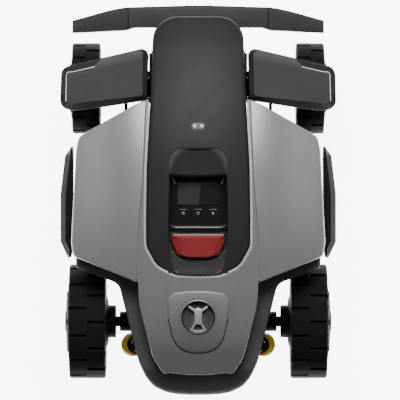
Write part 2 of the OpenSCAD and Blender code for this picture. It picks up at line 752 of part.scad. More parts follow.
base_pan();
base_skirt();
side_panel(-1);  // side_panel_left
side_panel(1);  // side_panel_right
centre_shell();
spine_cover();
nose_fascia();
camera_lenses();
rain_sensor();
console_panel();
display_window();
console_lip();
dial_bezel();
battery_pack();
controller_board();
side_bumper(-1);  // side_bumper_left
side_bumper(1);  // side_bumper_right
rear_axle_beam();
front_cross_member();
case_screws();
charge_contacts();
front_bumper();
stop_button();
key(0);  // key_left
key(1);  // key_middle
key(2);  // key_right
dial_grip();
dial_shaft();
lift_screw();
cutting_deck();
cutting_motor(-1);  // cutting_motor_left
cutting_motor(1);  // cutting_motor_right
blade_disc(-1);  // blade_disc_left
blade_disc(1);  // blade_disc_right
blade(-1, 0);  // blade_left_1
blade(-1, 1);  // blade_left_2
blade(-1, 2);  // blade_left_3
blade(1, 0);  // blade_right_1
blade(1, 1);  // blade_right_2
blade(1, 2);  // blade_right_3
swing_arm(-1);  // swing_arm_left
swing_arm(1);  // swing_arm_right
fender(-1);  // fender_left
fender(1);  // fender_right
fender_light(-1);  // fender_light_left
fender_light(1);  // fender_light_right
knuckle(-1);  // knuckle_left
knuckle(1);  // knuckle_right
tyre(front_at(-1), front_r, front_w, -1);  // tyre_front_left
tyre(front_at(1), front_r, front_w, 1);  // tyre_front_right
tyre(rear_at(-1), rear_r, rear_w, -1);  // tyre_rear_left
tyre(rear_at(1), rear_r, rear_w, 1);  // tyre_rear_right
rim(front_at(-1), front_r, front_w, -1, king_r, [14, 2]);  // rim_front_left
rim(front_at(1), front_r, front_w, 1, king_r, [14, 2]);  // rim_front_right
rim(rear_at(-1), rear_r, rear_w, -1, rear_axle_r, [31, 14]);  // rim_rear_left
rim(rear_at(1), rear_r, rear_w, 1, rear_axle_r, [31, 14]);  // rim_rear_right
roller_tyre(-1);  // roller_tyre_left
roller_tyre(1);  // roller_tyre_right
roller_hub(-1);  // roller_hub_left
roller_hub(1);  // roller_hub_right
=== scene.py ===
"""Looks of the robotic lawn mower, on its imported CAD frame. +Y is forward, +Z is up."""
import json
from math import atan2, cos, hypot, pi, radians, sin, tan, tau

import bmesh
import bpy
from mathutils import Matrix, Vector


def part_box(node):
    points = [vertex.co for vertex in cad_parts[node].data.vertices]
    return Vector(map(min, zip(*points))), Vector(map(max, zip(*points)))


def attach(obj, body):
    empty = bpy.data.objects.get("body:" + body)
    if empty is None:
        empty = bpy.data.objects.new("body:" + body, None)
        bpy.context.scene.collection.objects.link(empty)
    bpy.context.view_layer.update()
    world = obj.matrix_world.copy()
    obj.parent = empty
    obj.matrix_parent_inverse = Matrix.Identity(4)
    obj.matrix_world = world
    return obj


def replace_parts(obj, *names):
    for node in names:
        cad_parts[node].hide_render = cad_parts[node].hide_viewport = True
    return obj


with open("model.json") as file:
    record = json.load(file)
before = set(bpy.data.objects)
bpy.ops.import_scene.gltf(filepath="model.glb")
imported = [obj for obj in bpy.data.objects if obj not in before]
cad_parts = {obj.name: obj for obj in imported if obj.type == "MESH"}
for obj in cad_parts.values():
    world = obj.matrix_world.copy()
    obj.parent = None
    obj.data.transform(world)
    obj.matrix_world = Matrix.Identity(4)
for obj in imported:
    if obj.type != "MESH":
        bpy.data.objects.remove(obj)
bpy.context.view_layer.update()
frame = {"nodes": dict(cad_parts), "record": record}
MM = 0.001
SIDES = {"left": -1, "right": 1}


# ------------------------ mesh helpers

def unit(v):
    """A vector of length 1 along v."""
    return v / v.length


def rounded(path, steps=8):
    """A closed outline from (x, y, radius) corners, as 2-D vectors in millimetres."""
    out = []
    for i, (x, y, r) in enumerate(path):
        p = Vector((x, y))
        if r == 0:
            out.append(p)
            continue
        u = unit(Vector(path[i - 1][:2]) - p)
        v = unit(Vector(path[(i + 1) % len(path)][:2]) - p)
        half = u.angle(v) / 2
        start = p + u * r / tan(half)
        end = p + v * r / tan(half)
        centre = p + unit(u + v) * r / sin(half)
        a0 = atan2(start.y - centre.y, start.x - centre.x)
        turn = (atan2(end.y - centre.y, end.x - centre.x) - a0 + pi) % tau - pi
        out += [centre + r * Vector((cos(a0 + turn * k / steps), sin(a0 + turn * k / steps)))
                for k in range(steps + 1)]
    return out


def both(half):
    """Corners of both halves, from the right half's corners listed from front to rear."""
    return half + [(-x, y, r) for x, y, r in reversed(half)]


def resample(outline, count):
    """The same closed outline with evenly spaced points."""
    pts = outline + [outline[0]]
    lengths = [(b - a).length for a, b in zip(pts, pts[1:])]
    total = sum(lengths)
    out, i, walked = [], 0, 0.0
    for k in range(count):
        target = total * k / count
        while walked + lengths[i] < target and i < len(lengths) - 1:
            walked += lengths[i]
            i += 1
        out.append(pts[i].lerp(pts[i + 1], (target - walked) / max(lengths[i], 1e-9)))
    return out


def inset(outline, amount):
    """The outline moved inwards. amount is a number or one number for each point."""
    n = len(outline)
    area = sum(outline[i].cross(outline[(i + 1) % n]) for i in range(n))
    turn = 1 if area > 0 else -1
    out = []
    for i, p in enumerate(outline):
        along = unit(outline[(i + 1) % n] - outline[i - 1])
        d = amount[i] if isinstance(amount, list) else amount
        out.append(p + Vector((-along.y, along.x)) * turn * d)
    return out


def smooth(values, rounds):
    """Values round a closed outline, each averaged with its neighbours rounds times."""
    for _ in range(rounds):
        values = [(values[i - 1] + values[i] + values[(i + 1) % len(values)]) / 3 for i in range(len(values))]
    return values


def lift(outline, height):
    """3-D points of an outline, at height(x, y)."""
    return [Vector((p.x, p.y, height(p.x, p.y))) for p in outline]


def to_segment(p, a, b):
    """The point of segment a-b nearest p."""
    ab = b - a
    t = max(0.0, min(1.0, (p - a).dot(ab) / max(ab.length_squared, 1e-9)))
    return a + ab * t


def lowered(outline, height, drops):
    """3-D points of an outline, each its own drop below height(x, y)."""
    return [Vector((p.x, p.y, height(p.x, p.y) - d)) for p, d in zip(outline, drops)]


def level(outline, z):
    """3-D points of an outline, all at height z."""
    return [Vector((p.x, p.y, z)) for p in outline]


def directions(path):
    """The unit direction of an open path at each of its points."""
    return [unit(b - a) for a, b in zip(path[:1] + path[:-1], path[1:] + path[-1:])]


def flat(ring):
    """The 2-D points of a ring."""
    return [Vector((p.x, p.y)) for p in ring]


def mirrored(rings, side):
    """The rings of a piece drawn on the right, taken to side."""
    return [[Vector((p.x * side, p.y, p.z)) for p in ring] for ring in rings]


def moved(rings, by):
    """The rings shifted by a vector."""
    return [[p + by for p in ring] for ring in rings]


def new_object(name, data):
    """A new object in the scene."""
    made = bpy.data.objects.new(name, data)
    bpy.context.scene.collection.objects.link(made)
    return made


def mesh_object(bm, name):
    """A new object in the scene from a bmesh in millimetres."""
    bmesh.ops.recalc_face_normals(bm, faces=bm.faces)
    bmesh.ops.scale(bm, vec=(MM, MM, MM), verts=bm.verts)
    mesh = bpy.data.meshes.new(name)
    bm.to_mesh(mesh)
    bm.free()
    return new_object(name, mesh)


def finish_piece(bm, name, body, slot, replaces=(), angle=35, material=None):
    """A piece that rides on body, from a bmesh in millimetres, in its slot's material or the one named."""
    bmesh.ops.remove_doubles(bm, verts=bm.verts, dist=0.01)
    piece = mesh_object(bm, name)
    piece.data.materials.append(MATERIALS[material or slot])
    shade(piece, angle)
    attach(piece, body)
    if replaces:
        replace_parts(piece, *replaces)
    return piece


def shade(piece, angle):
    """Smooth shading, with edges sharper than angle kept."""
    mesh = piece.data
    mesh.polygons.foreach_set("use_smooth", [True] * len(mesh.polygons))
    mesh.set_sharp_from_angle(angle=radians(angle))


def bridge(bm, rings, closed=True, caps=(False, False)):
    """Quads between rings of the same size, with flat caps on the first and last ring if asked."""
    rows = [[bm.verts.new(p) for p in ring] for ring in rings]
    for low, high in zip(rows, rows[1:]):
        n = len(low)
        for i in range(n if closed else n - 1):
            j = (i + 1) % n
            bm.faces.new((low[i], low[j], high[j], high[i]))
    if caps[0]:
        bm.faces.new(list(reversed(rows[0])))
    if caps[1]:
        bm.faces.new(rows[-1])


def skin(rings, name, body, slot, replaces=(), angle=35, material=None, closed=True, caps=(False, False)):
    """A piece whose surface runs through rings."""
    bm = bmesh.new()
    bridge(bm, rings, closed, caps)
    return finish_piece(bm, name, body, slot, replaces, angle, material)


def rolled(outline, height, roll, steps=5):
    """Rings over a rounded edge: from the outline, roll below height, up to height at the inset."""
    rolls = roll if isinstance(roll, list) else [roll] * len(outline)
    rings = []
    for k in range(steps + 1):
        a = pi / 2 * k / steps
        ring = inset(outline, [r * (1 - cos(a)) for r in rolls])
        rings.append(lowered(ring, height, [r * (1 - sin(a)) for r in rolls]))
    return rings


def closing(ring, core, count, height):
    """Rings at height(x, y) that close ring in to the segment core."""
    a, b = Vector(core[0]), Vector(core[1])
    return [lift([p.lerp(to_segment(p, a, b), k / count) for p in flat(ring)], height)
            for k in range(1, count + 1)]


def pillow(outline, height, roll, foot, core, inner):
    """A shell's rings: its wall's foot, the rolled edge, and the top surface in to the core segment."""
    edge = rolled(outline, height, roll)
    base = [Vector((p.x, p.y, min(foot(p.x, p.y), e.z))) for p, e in zip(outline, edge[0])]
    return [base] + edge + closing(edge[-1], core, inner, height)


def angles(count):
    """Evenly spaced angles round a full turn."""
    return [tau * k / count for k in range(count)]


def turned(bm, profile, place, steps=72):
    """Adds a (radius, height) profile turned about Z to bm. place is the 4x4 matrix of its frame."""
    rows = [[bm.verts.new(place @ Vector((r * cos(a), r * sin(a), z))) for r, z in profile]
            for a in angles(steps)]
    n = len(profile)
    for k, low in enumerate(rows):
        high = rows[(k + 1) % len(rows)]
        for i in range(n - 1):
            if (low[i].co - high[i].co).length + (low[i + 1].co - high[i + 1].co).length > 1e-6:
                bm.faces.new((low[i], low[i + 1], high[i + 1], high[i]))


def add_box(bm, low, high, place, bevel):
    """Adds a box with bevelled edges to bm. place is the 4x4 matrix of its frame."""
    made = bmesh.ops.create_cube(bm, size=1)["verts"]
    size = Vector(high) - Vector(low)
    mid = (Vector(high) + Vector(low)) / 2
    for v in made:
        v.co = Vector((v.co.x * size.x, v.co.y * size.y, v.co.z * size.z)) + mid
    edges = list(dict.fromkeys(e for v in made for e in v.link_edges))
    out = bmesh.ops.bevel(bm, geom=edges, offset=bevel, segments=3, affect="EDGES", profile=0.5)
    verts = {v for f in out["faces"] for v in f.verts} | {v for v in made if v.is_valid}
    for v in verts:
        v.co = place @ v.co


def cut(piece, rings):
    """Cuts a closed solid, given by its rings in millimetres, out of piece."""
    bm = bmesh.new()
    bridge(bm, rings, caps=(True, True))
    tool = mesh_object(bm, "cutter")
    mod = piece.modifiers.new("cut", "BOOLEAN")
    mod.object = tool
    mod.solver = "EXACT"
    bpy.context.view_layer.update()
    result = bpy.data.meshes.new_from_object(piece.evaluated_get(bpy.context.evaluated_depsgraph_get()))
    piece.modifiers.clear()
    piece.data = result
    bpy.data.objects.remove(tool)


# ------------------------ materials

MATERIALS = {}


def new_material(name):
    """The node tree and the Principled shader of a new material, which goes into MATERIALS."""
    material = bpy.data.materials.new(name)
    material.use_nodes = True
    MATERIALS[name] = material
    return material.node_tree, material.node_tree.nodes["Principled BSDF"]


def feed(tree, node, **inputs):
    """Gives node its inputs, named with _ for a space. A socket is linked, anything else is a plain value."""
    for name, value in inputs.items():
        socket = node.inputs[name.replace("_", " ")]
        if isinstance(value, bpy.types.NodeSocket):
            tree.links.new(value, socket)
        else:
            socket.default_value = value


def add(tree, kind, output, **inputs):
    """The output of a new shader node that has these inputs."""
    node = tree.nodes.new("ShaderNode" + kind)
    feed(tree, node, **inputs)
    return node.outputs[output]


def maths(tree, operation, *values):
    """The result of a Math node on one or two sockets."""
    node = tree.nodes.new("ShaderNodeMath")
    node.operation = operation
    for value, socket in zip(values, node.inputs):
        tree.links.new(value, socket)
    return node.outputs["Value"]


def noise(tree, scale, detail=3.0):
    """Noise from 0 to 1 that is fixed to the object."""
    place = add(tree, "TexCoord", "Object")
    return add(tree, "TexNoise", "Fac", Vector=place, Scale=scale, Detail=detail, Roughness=0.55)


def remap(tree, value, low, high, start=0.0, end=1.0):
    """value, from start..end to low..high."""
    return add(tree, "MapRange", "Result", Value=value, From_Min=start, From_Max=end, To_Min=low, To_Max=high)


def bumps(tree, height, strength, distance):
    """A normal roughened by height. distance is in metres."""
    return add(tree, "Bump", "Normal", Height=height, Strength=strength, Distance=distance)


def times(colour, factor, extra=0.0):
    """The colour made lighter or darker by a factor, plus an even amount on each channel."""
    return [min(1, c * factor + extra) for c in colour]


def tint(tree, value, dark, light):
    """A colour that goes from dark to light as value goes from 0.3 to 0.7."""
    ramp = tree.nodes.new("ShaderNodeValToRGB")
    first, last = ramp.color_ramp.elements
    first.position = 0.3
    last.position = 0.7
    first.color = (*dark, 1)
    last.color = (*light, 1)
    feed(tree, ramp, Fac=value)
    return ramp.outputs["Color"]


def worn(tree, colour, edge, amount):
    """colour, with edge showing along convex edges, broken up by noise."""
    sharp = remap(tree, add(tree, "NewGeometry", "Pointiness"), 0, amount, 0.53, 0.62)
    mix = tree.nodes.new("ShaderNodeMix")
    mix.data_type = "RGBA"
    feed(tree, mix, Factor=maths(tree, "MULTIPLY", sharp, noise(tree, 60)), A=colour, B=(*edge, 1))
    return mix.outputs["Result"]


def moulded(name, colour, rough, grain=900, bump=0.08, spread=0.12, gloss=0.22, coat=0.0, wear=0.35):
    """Moulded or painted plastic: a fine grain, slow colour drift, smudged gloss and pale edges."""
    tree, shader = new_material(name)
    drift = tint(tree, noise(tree, 7, 4), times(colour, 1 - spread), times(colour, 1 + spread))
    feed(tree, shader, Specular_IOR_Level=gloss, Coat_Weight=coat, Coat_Roughness=0.18,
         Base_Color=worn(tree, drift, times(colour, 1.9, 0.01), wear),
         Roughness=remap(tree, noise(tree, 38, 5), rough - 0.06, rough + 0.07),
         Normal=bumps(tree, noise(tree, grain, 2), bump, 0.0006))


def metallic_paint(name, colour, rough):
    """Satin metallic paint: small flakes of brightness under a soft clear coat."""
    tree, shader = new_material(name)
    flakes = add(tree, "TexVoronoi", "Color", Vector=add(tree, "TexCoord", "Object"), Scale=1600)
    sparkle = add(tree, "SeparateColor", "Red", Color=flakes)
    speck = tint(tree, sparkle, times(colour, 0.9), times(colour, 1.1))
    feed(tree, shader, Metallic=0.35, Coat_Weight=0.25, Coat_Roughness=0.3,
         Base_Color=worn(tree, speck, times(colour, 1.5), 0.4),
         Roughness=remap(tree, noise(tree, 24, 5), rough - 0.05, rough + 0.06),
         Normal=bumps(tree, noise(tree, 420, 3), 0.04, 0.0004))


def brushed(name, colour, rough, stretch=(4, 4, 260)):
    """Brushed or machined metal, with streaks along one axis."""
    tree, shader = new_material(name)
    squeezed = add(tree, "Mapping", "Vector", Vector=add(tree, "TexCoord", "Object"), Scale=stretch)
    streaks = add(tree, "TexNoise", "Fac", Vector=squeezed, Scale=6, Detail=6)
    feed(tree, shader, Metallic=0.9,
         Base_Color=tint(tree, streaks, times(colour, 0.82), colour),
         Roughness=remap(tree, streaks, rough - 0.08, rough + 0.12),
         Normal=bumps(tree, streaks, 0.08, 0.0003))


def glow(name, colour, strength):
    """A glowing surface with a slightly uneven glow: a lit lens, and painted light where it is used for the
    key symbols and the sensor's contacts.
    """
    tree, shader = new_material(name)
    feed(tree, shader, Emission_Strength=strength,
         Base_Color=tint(tree, noise(tree, 90, 2), times(colour, 0.9), colour),
         Emission_Color=tint(tree, noise(tree, 90, 2), times(colour, 0.85), colour),
         Roughness=remap(tree, noise(tree, 200, 2), 0.25, 0.4))


# The first group is named after the CAD's material slots, the second is for the visual pieces only.
metallic_paint("satin_grey", (0.27, 0.272, 0.274), 0.38)
moulded("dark_cover", (0.020, 0.020, 0.0205), 0.5, gloss=0.2)
moulded("black_plastic", (0.005, 0.005, 0.0055), 0.6, grain=600, bump=0.2, gloss=0.15)
moulded("gloss_black", (0.009, 0.009, 0.01), 0.14, bump=0.02, coat=0.6, wear=0.1)
moulded("window", (0.022, 0.022, 0.024), 0.12, bump=0.01, coat=0.8, wear=0.0)
moulded("sensor_grey", (0.12, 0.12, 0.125), 0.4)
metallic_paint("silver", (0.36, 0.36, 0.37), 0.26)
moulded("stop_red", (0.27, 0.028, 0.032), 0.3, grain=500, bump=0.03, gloss=0.4, coat=0.2)
moulded("tyre_rubber", (0.008, 0.008, 0.0085), 0.75, grain=340, bump=0.35, spread=0.3, gloss=0.07)
moulded("wheel_black", (0.009, 0.009, 0.0095), 0.6, gloss=0.05)
brushed("steel", (0.6, 0.61, 0.62), 0.28)
brushed("motor_can", (0.4, 0.41, 0.42), 0.4, (200, 200, 4))
glow("light_white", (0.9, 0.9, 0.92), 0.9)
moulded("battery_case", (0.05, 0.07, 0.09), 0.5)
moulded("circuit_green", (0.01, 0.11, 0.05), 0.4, grain=250, spread=0.4)
brushed("contact_brass", (0.72, 0.5, 0.2), 0.25)
moulded("amber_rubber", (0.75, 0.42, 0.03), 0.45, grain=300, bump=0.2, coat=0.2)

# trough: a copy of the dark cover about twice as light, painted light so the sunken ramps and floor read as
# lit.
moulded("trough", (0.042, 0.042, 0.043), 0.5)
# skirt: a copy of the dark cover about three times as light, painted light that offsets the shadow the deck
# casts on the skirt.
moulded("skirt", (0.064, 0.064, 0.065), 0.55)
moulded("fender", (0.029, 0.029, 0.0295), 0.48, gloss=0.27)
metallic_paint("deck_grey", (0.222, 0.224, 0.226), 0.42)
metallic_paint("rim_ring", (0.07, 0.07, 0.071), 0.5)
moulded("rib", (0.05, 0.05, 0.051), 0.5)
# trim_painted_highlight: a bright silver that paints the highlight along the deck's edge beside the spine.
metallic_paint("trim_painted_highlight", (0.62, 0.62, 0.63), 0.3)
# cheek_painted_highlight: a light grey for the painted highlights at the hood's ends.
metallic_paint("cheek_painted_highlight", (0.4, 0.4, 0.41), 0.35)
metallic_paint("lip", (0.065, 0.065, 0.066), 0.36)
# icon: the printed key symbols made to glow faintly, painted light on marks that are no lamp.
glow("icon", (0.5, 0.52, 0.55), 0.25)
# glass_painted_reflection: the display glass made lighter, a painted reflection on one half of the screen.
moulded("glass_painted_reflection", (0.040, 0.040, 0.0405), 0.12, grain=60, bump=0.02, gloss=0.4, wear=0.1)
moulded("glass_dark", (0.016, 0.016, 0.0175), 0.12, grain=60, bump=0.02, gloss=0.4, wear=0.1)
# contact_painted_glint: the sensor's metal contacts made to glow white, a painted glint.
glow("contact_painted_glint", (0.95, 0.95, 0.95), 0.6)


# ------------------------ the machine's curves, in millimetres

BODY_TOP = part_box("spine_cover")[1].z / MM
TOP_Y = 40  # where the centre line is highest
NOSE_DROP = 80  # its fall from there to the nose
TAIL_DROP = 95  # and to the tail
DIAL_Y = -220
BOWL_HOLE = 36  # radius of the deck's hole for the dial's bowl
RAMP_FRONT_Y, STEP_FRONT_Y, STEP_REAR_Y, FLOOR_END_Y = 98, 46, 40, -107  # the trough, from front to rear
STEP_Z = 302  # top of the trough's step above the display
SIDE_BUMPER_Z = 196


def middle_x(name):
    """The x of the middle of a CAD node, in millimetres."""
    low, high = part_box(name)
    return (low.x + high.x) / 2 / MM


FRONT_AXLE = Vector((middle_x("tyre_front_right"), 215, 87))
REAR_AXLE = Vector((middle_x("tyre_rear_right"), -231, 109))


def crest(y):
    """Height of the centre line at y."""
    if y > TOP_Y:
        return BODY_TOP - NOSE_DROP * ((y - TOP_Y) / (346 - TOP_Y)) ** 2
    u = (TOP_Y - y) / (TOP_Y + 328)
    return BODY_TOP - TAIL_DROP * (0.53 * u ** 2 + 0.47 * u ** 12)


def ease(t):
    """0 to 1 as t goes from 0 to 1, with a soft start and end."""
    t = max(0.0, min(1.0, t))
    return t * t * (3 - 2 * t)


def spine_top(x, y):
    """The spine's crowned top: flatter in the middle, falling to its edges and to the nose."""
    side = abs(x) / 96
    brow = 9 * ease((y - 285) / 75)
    return crest(y) - 12 * side ** 2.3 - brow * (0.4 + 0.6 * side ** 2)


def deck_top(x, y):
    """The grey deck around and behind the spine; its tail runs out straight."""
    tail = max(0, -280 - y)
    return crest(max(y, -280)) - 0.62 * tail - 3 - 10 * (abs(x) / 112) ** 3


def panel_top(x, y):
    """A side panel: it falls outwards and to the rear."""
    out = (abs(x) - 90) / 145
    return crest(y) - 10 - 58 * max(0, out) ** 2.1 - (13 * ((20 - y) / 175) ** 2 if y < 20 else 0)


def skirt_top(x, y):
    """The dark skirt's roof, which dives behind the deck."""
    back = max(0.0, (-318 - y) / 52)
    return 236 - 2 * ease((-90 - y) / 150) - 46 * min(1, back) ** 1.3


def floor_z(y):
    """Height of the trough's floor, which rises gently forwards."""
    return 267 + (y + 139) / 45


def trough_z(y):
    """Height of the control trough along the middle: ramp, step, floor, and the ramp to the rear."""
    if y > STEP_FRONT_Y:
        return STEP_Z + (crest(RAMP_FRONT_Y) - 2.4 - STEP_Z) * ((y - STEP_FRONT_Y) / 52) ** 1.1
    if y > STEP_REAR_Y:
        low = floor_z(STEP_REAR_Y)
        return low + (STEP_Z - low) * ease((y - STEP_REAR_Y) / 6)
    if y > FLOOR_END_Y:
        return floor_z(y)
    low = floor_z(FLOOR_END_Y)
    return low + (crest(-137) - 1.5 - low) * ease((FLOOR_END_Y - y) / 36) ** 0.8


def side_foot(y):
    """Lower edge of the spine's walls: high beside the panels, low beside the fenders and at the nose."""
    if y < 150:
        return 284
    if y < 200:
        return 284 - 87 * (y - 150) / 50
    return 197 + 31 * min(1, max(0, y - 300) / 10)


def skirt_foot(x, y):
    """Lower edge of the skirt, clear of the rear wheels, the axle and the guide rollers."""
    corners = ((-150, 200), (-200, 184), (-250, 134), (-300, 108), (-324, 78))
    for (y0, z0), (y1, z1) in zip(corners, corners[1:]):
        if y > y1:
            return z0 + (z1 - z0) * max(0, y0 - y) / (y0 - y1)
    return 78


def ray_points(outer, rim, centre):
    """For each point of outer, the point of the closed outline rim on the line to it from centre."""
    c = Vector(centre)
    out = []
    for p in outer:
        d = p - c
        best = None
        for i, a in enumerate(rim):
            e = rim[(i + 1) % len(rim)] - a
            den = d.cross(e)
            if abs(den) < 1e-9:
                continue
            t = (a - c).cross(e) / den
            s = (a - c).cross(d) / den
            if t > 0 and -1e-6 <= s <= 1 + 1e-6 and (best is None or t > best):
                best = t
        out.append(c + d * best)
    return out


def annulus(first, rim, height, steps):
    """Rings from ring first in to outline rim, the last one on it."""
    return [lift([Vector((a.x, a.y)).lerp(b, k / steps) for a, b in zip(first, rim)], height)
            for k in range(1, steps + 1)]


def chamfered(outline, height, widths, drops):
    """Rings of a flat bevel: the outline drops below height, then inset by widths, up to height."""
    return [lowered(outline, height, drops), lift(inset(outline, widths), height)]


# ------------------------ covers

SPINE = resample(rounded(both([(84.6, 347, 46), (88.2, 205, 300), (96.2, 60, 300), (97.6, -30, 200),
                               (97.2, -86, 26), (77.5, -122.5, 40), (42, -139.8, 40),
                               (10, -140.8, 60)]), 16), 340)
TROUGH_RIM = rounded(both([(54.5, 98, 24), (58, -40, 300), (57, -108, 40), (43, -138, 14)]), 12)


def make_spine():
    """The dark spine: walls, rolled edge, crowned top, and the walls of the control trough."""
    edge = rolled(SPINE, spine_top, [6 - 4.8 * ease((-118 - p.y) / 16) for p in SPINE])
    foot = lift(SPINE, lambda x, y: side_foot(y))
    last = flat(edge[-1])
    rim = ray_points(last, TROUGH_RIM, (0, -20))
    top = annulus(last, rim, spine_top, 22)
    roll = []
    for k in range(1, 6):
        a = pi / 2 * k / 5
        roll.append(lift(inset(rim, 2.4 * sin(a)), lambda x, y: spine_top(x, y) - 2.4 * (1 - cos(a))))
    lean = [2.6 + 5.4 * ease((44 - p.y) / 10) * ease((p.y + 62) / 8) for p in rim]
    wall = lift(inset(rim, lean), lambda x, y: min(trough_z(y), spine_top(x, y) - 3) - 2)
    skin([foot] + edge + top + roll + [wall], "spine_skin", "chassis", "dark_cover", ["spine_cover"], 40)


def make_trough_floor():
    """The trough's ramp, step and floor, with a dished cross-section."""
    ramp = [97.8] + [96 - 2.5 * k for k in range(20)]
    ys = ramp + [STEP_FRONT_Y - k for k in range(1, 10)] + [36 - 4 * k for k in range(44)]
    xs = [56 * sin(pi / 2 * k / 14) for k in range(-14, 15)]
    rows = []
    for y in ys:
        chute = 24 * (ease((y - STEP_REAR_Y) / 10) + ease((-96 - y) / 14))
        row = []
        for x in xs:
            out = abs(x) / 56
            dished = trough_z(y) + 3 * out ** 6 + chute * out ** 3
            row.append(Vector((x, y, min(dished, spine_top(x, y) - 0.5))))
        rows.append(row)
    # The trough's lighter cover colour is painted light on its ramps and floor.
    skin(rows, "trough_floor", "chassis", "dark_cover", (), 50, "trough", closed=False)


def make_deck():
    """The grey deck behind the spine, with its narrow bands beside it and a hole for the dial's bowl."""
    outline = resample(rounded(both([(98, 187, 0), (103, 40, 200), (112.4, -60, 200), (112, -190, 200),
                                     (85, -296, 70), (66, -326, 7), (58, -326, 2), (55, -323.8, 2),
                                     (20, -328.6, 60)]), 10), 360)
    rolls = smooth([1.6 if p.y < -160 else 1.0 for p in outline], 4)
    edge = rolled(outline, deck_top, rolls)
    spread = inset(outline, [-2.5 * ease((p.y + 158) / 8) for p in outline])
    ledge = lift(spread, lambda x, y: deck_top(x, y) - (2.4 if y > -150 else 10.5))
    foot = lift(spread, lambda x, y: deck_foot(y))
    last = flat(edge[-1])
    rim = ray_points(last, inset([p for p in SPINE if p.y < 184], -0.3), (0, -20))
    top = annulus(last, rim, deck_top, 26)
    wall = lift(rim, lambda x, y: deck_top(x, y) - 9)
    bm = bmesh.new()
    bridge(bm, [foot, ledge] + edge + top + [wall])
    middles = {f: f.calc_center_median() for f in bm.faces}
    under_spine = [f for f, m in middles.items() if m.y > 181 and abs(m.x) < 91]
    bmesh.ops.delete(bm, geom=under_spine, context="FACES")
    deck = finish_piece(bm, "deck_skin", "chassis", "satin_grey", ["centre_shell"], 40, "deck_grey")
    circle = [Vector((BOWL_HOLE * cos(a), DIAL_Y + BOWL_HOLE * sin(a))) for a in angles(64)]
    cut(deck, [level(circle, z) for z in (240, 360)])
    shade(deck, 40)


def deck_foot(y):
    """Lower edge of the deck's walls: high beside the panels, low above the skirt."""
    if y > -149:
        return 286
    return 240 - 0.5 * max(0, -240 - y)


def make_edge_trim():
    """A low lip of the deck that follows the spine's edge, from the panels' front round the rear, painted
    bright silver: a painted highlight along that edge.
    """
    path = ordered([p for p in SPINE if p.y < 186])
    rings = []
    for p, along in zip(path, directions(path)):
        out = Vector((along.y, -along.x))
        if out.dot(p - Vector((0, max(-60, min(p.y, 150))))) < 0:
            out = -out
        taper = ease((186 - p.y) / 30) * ease((p.y - 10) / 110)
        ring = []
        for off, up in ((-0.2, -5), (0.3, 0.1), (0.9, 0.9), (2.2, 1.0), (3.6, 0.5), (4.8, -0.4)):
            q = p + out * off
            ring.append(Vector((q.x, q.y, deck_top(q.x, q.y) + up * (0.3 + 0.7 * taper))))
        rings.append(ring)
    skin(rings, "edge_trim", "chassis", "satin_grey", (), 40, "trim_painted_highlight", closed=False)


def make_side_panel(hand):
    """A grey side panel, rolled over at its flank and at its front and rear edges."""
    corners = [(98.6, 187.5, 1), (120, 179, 30), (213, 127, 0), (225, 119, 12), (230, 96, 40), (235, 0, 500),
               (239.5, -80, 40), (235, -106, 10), (228, -108, 6), (123, -150, 12), (113.2, -154, 2),
               (113.2, -60, 200), (103.8, 40, 200)]
    outline = resample(rounded(corners, 8), 260)
    rolls = []
    for p in outline:
        inner = p.x < 115 and -150 < p.y < 187
        flank = p.x > 222
        rolls.append(0.9 if inner else 4 if flank else 2.2)
    rings = pillow(outline, panel_top, smooth(rolls, 6), panel_foot, ((150, 90), (165, -80)), 14)
    skin(mirrored(rings, SIDES[hand]), f"panel_skin_{hand}", "chassis", "satin_grey",
         [f"side_panel_{hand}"], 45)


def panel_foot(x, y):
    """Lower edge of a panel's walls: the flank arches over the wheels, the rear wall ends on the skirt."""
    if x < 222 and y < -100:
        return 241
    if x < 115:
        return 286
    return 200 + 12 * (max(0, y - 40) / 80) ** 2 + 16 * (max(0, -y - 40) / 70) ** 2


def make_skirt():
    """The dark skirt that closes the body behind the deck and over the rear axle."""
    outline = resample(rounded(both([(231, -97, 2), (231, -127, 6), (150, -157, 24), (138, -205, 60),
                                     (112, -306, 80), (99, -334, 40), (85, -352, 40), (62, -363.6, 50),
                                     (40, -367.8, 60), (14, -369.3, 60)]), 10), 320)
    rings = pillow(outline, skirt_top, [1.5 if p.y > -98 else 9 for p in outline], skirt_foot,
                   ((0, -120), (0, -290)), 14)
    # The skirt's material is a lightened cover colour: painted light against the deck's shadow.
    skin(rings, "skirt_skin", "chassis", "dark_cover", ["base_skirt"], 40, "skirt")


def bumper_top(x, y):
    """The bumper's top, which falls slightly towards its ends."""
    return 199 - 5 * (abs(x) / 240) ** 2


def follow(points, x):
    """y at x on the line through points, its corners softened over 12 mm."""
    total = 0
    for k in range(7):
        u = x - 6 + 2 * k
        i = 1
        while i < len(points) - 1 and points[i][0] < u:
            i += 1
        (x0, y0), (x1, y1) = points[i - 1], points[i]
        total += y0 + (y1 - y0) * (u - x0) / (x1 - x0)
    return total / 7


def bar(name, xs, front, rear, bevel, sleeve):
    """One length of the bumper along xs, with a gentle front bevel, and sleeve thicker beyond x 131."""
    rings = []
    for x in xs:
        y0, y1 = follow(front, abs(x)), follow(rear, abs(x))
        top = bumper_top(x, y0) + sleeve * ease((abs(x) - 131) / 3.5)
        section = [(y1 + 3, 156), (y0 - 3, 156), (y0 - 0.6, 158), (y0, 162), (y0, top - 2.6),
                   (y0 - 0.3, top - 2.0), (y0 - 1, top - 1.6), (y0 - bevel, top), (y1 + 1.2, top),
                   (y1 + 0.3, top - 0.4), (y1, top - 1.3), (y1, 160), (y1 + 0.8, 157)]
        rings.append([Vector((x, y, z)) for y, z in section])
    return skin(rings, name, "front_bumper", "dark_cover", (), 20, caps=(True, True))


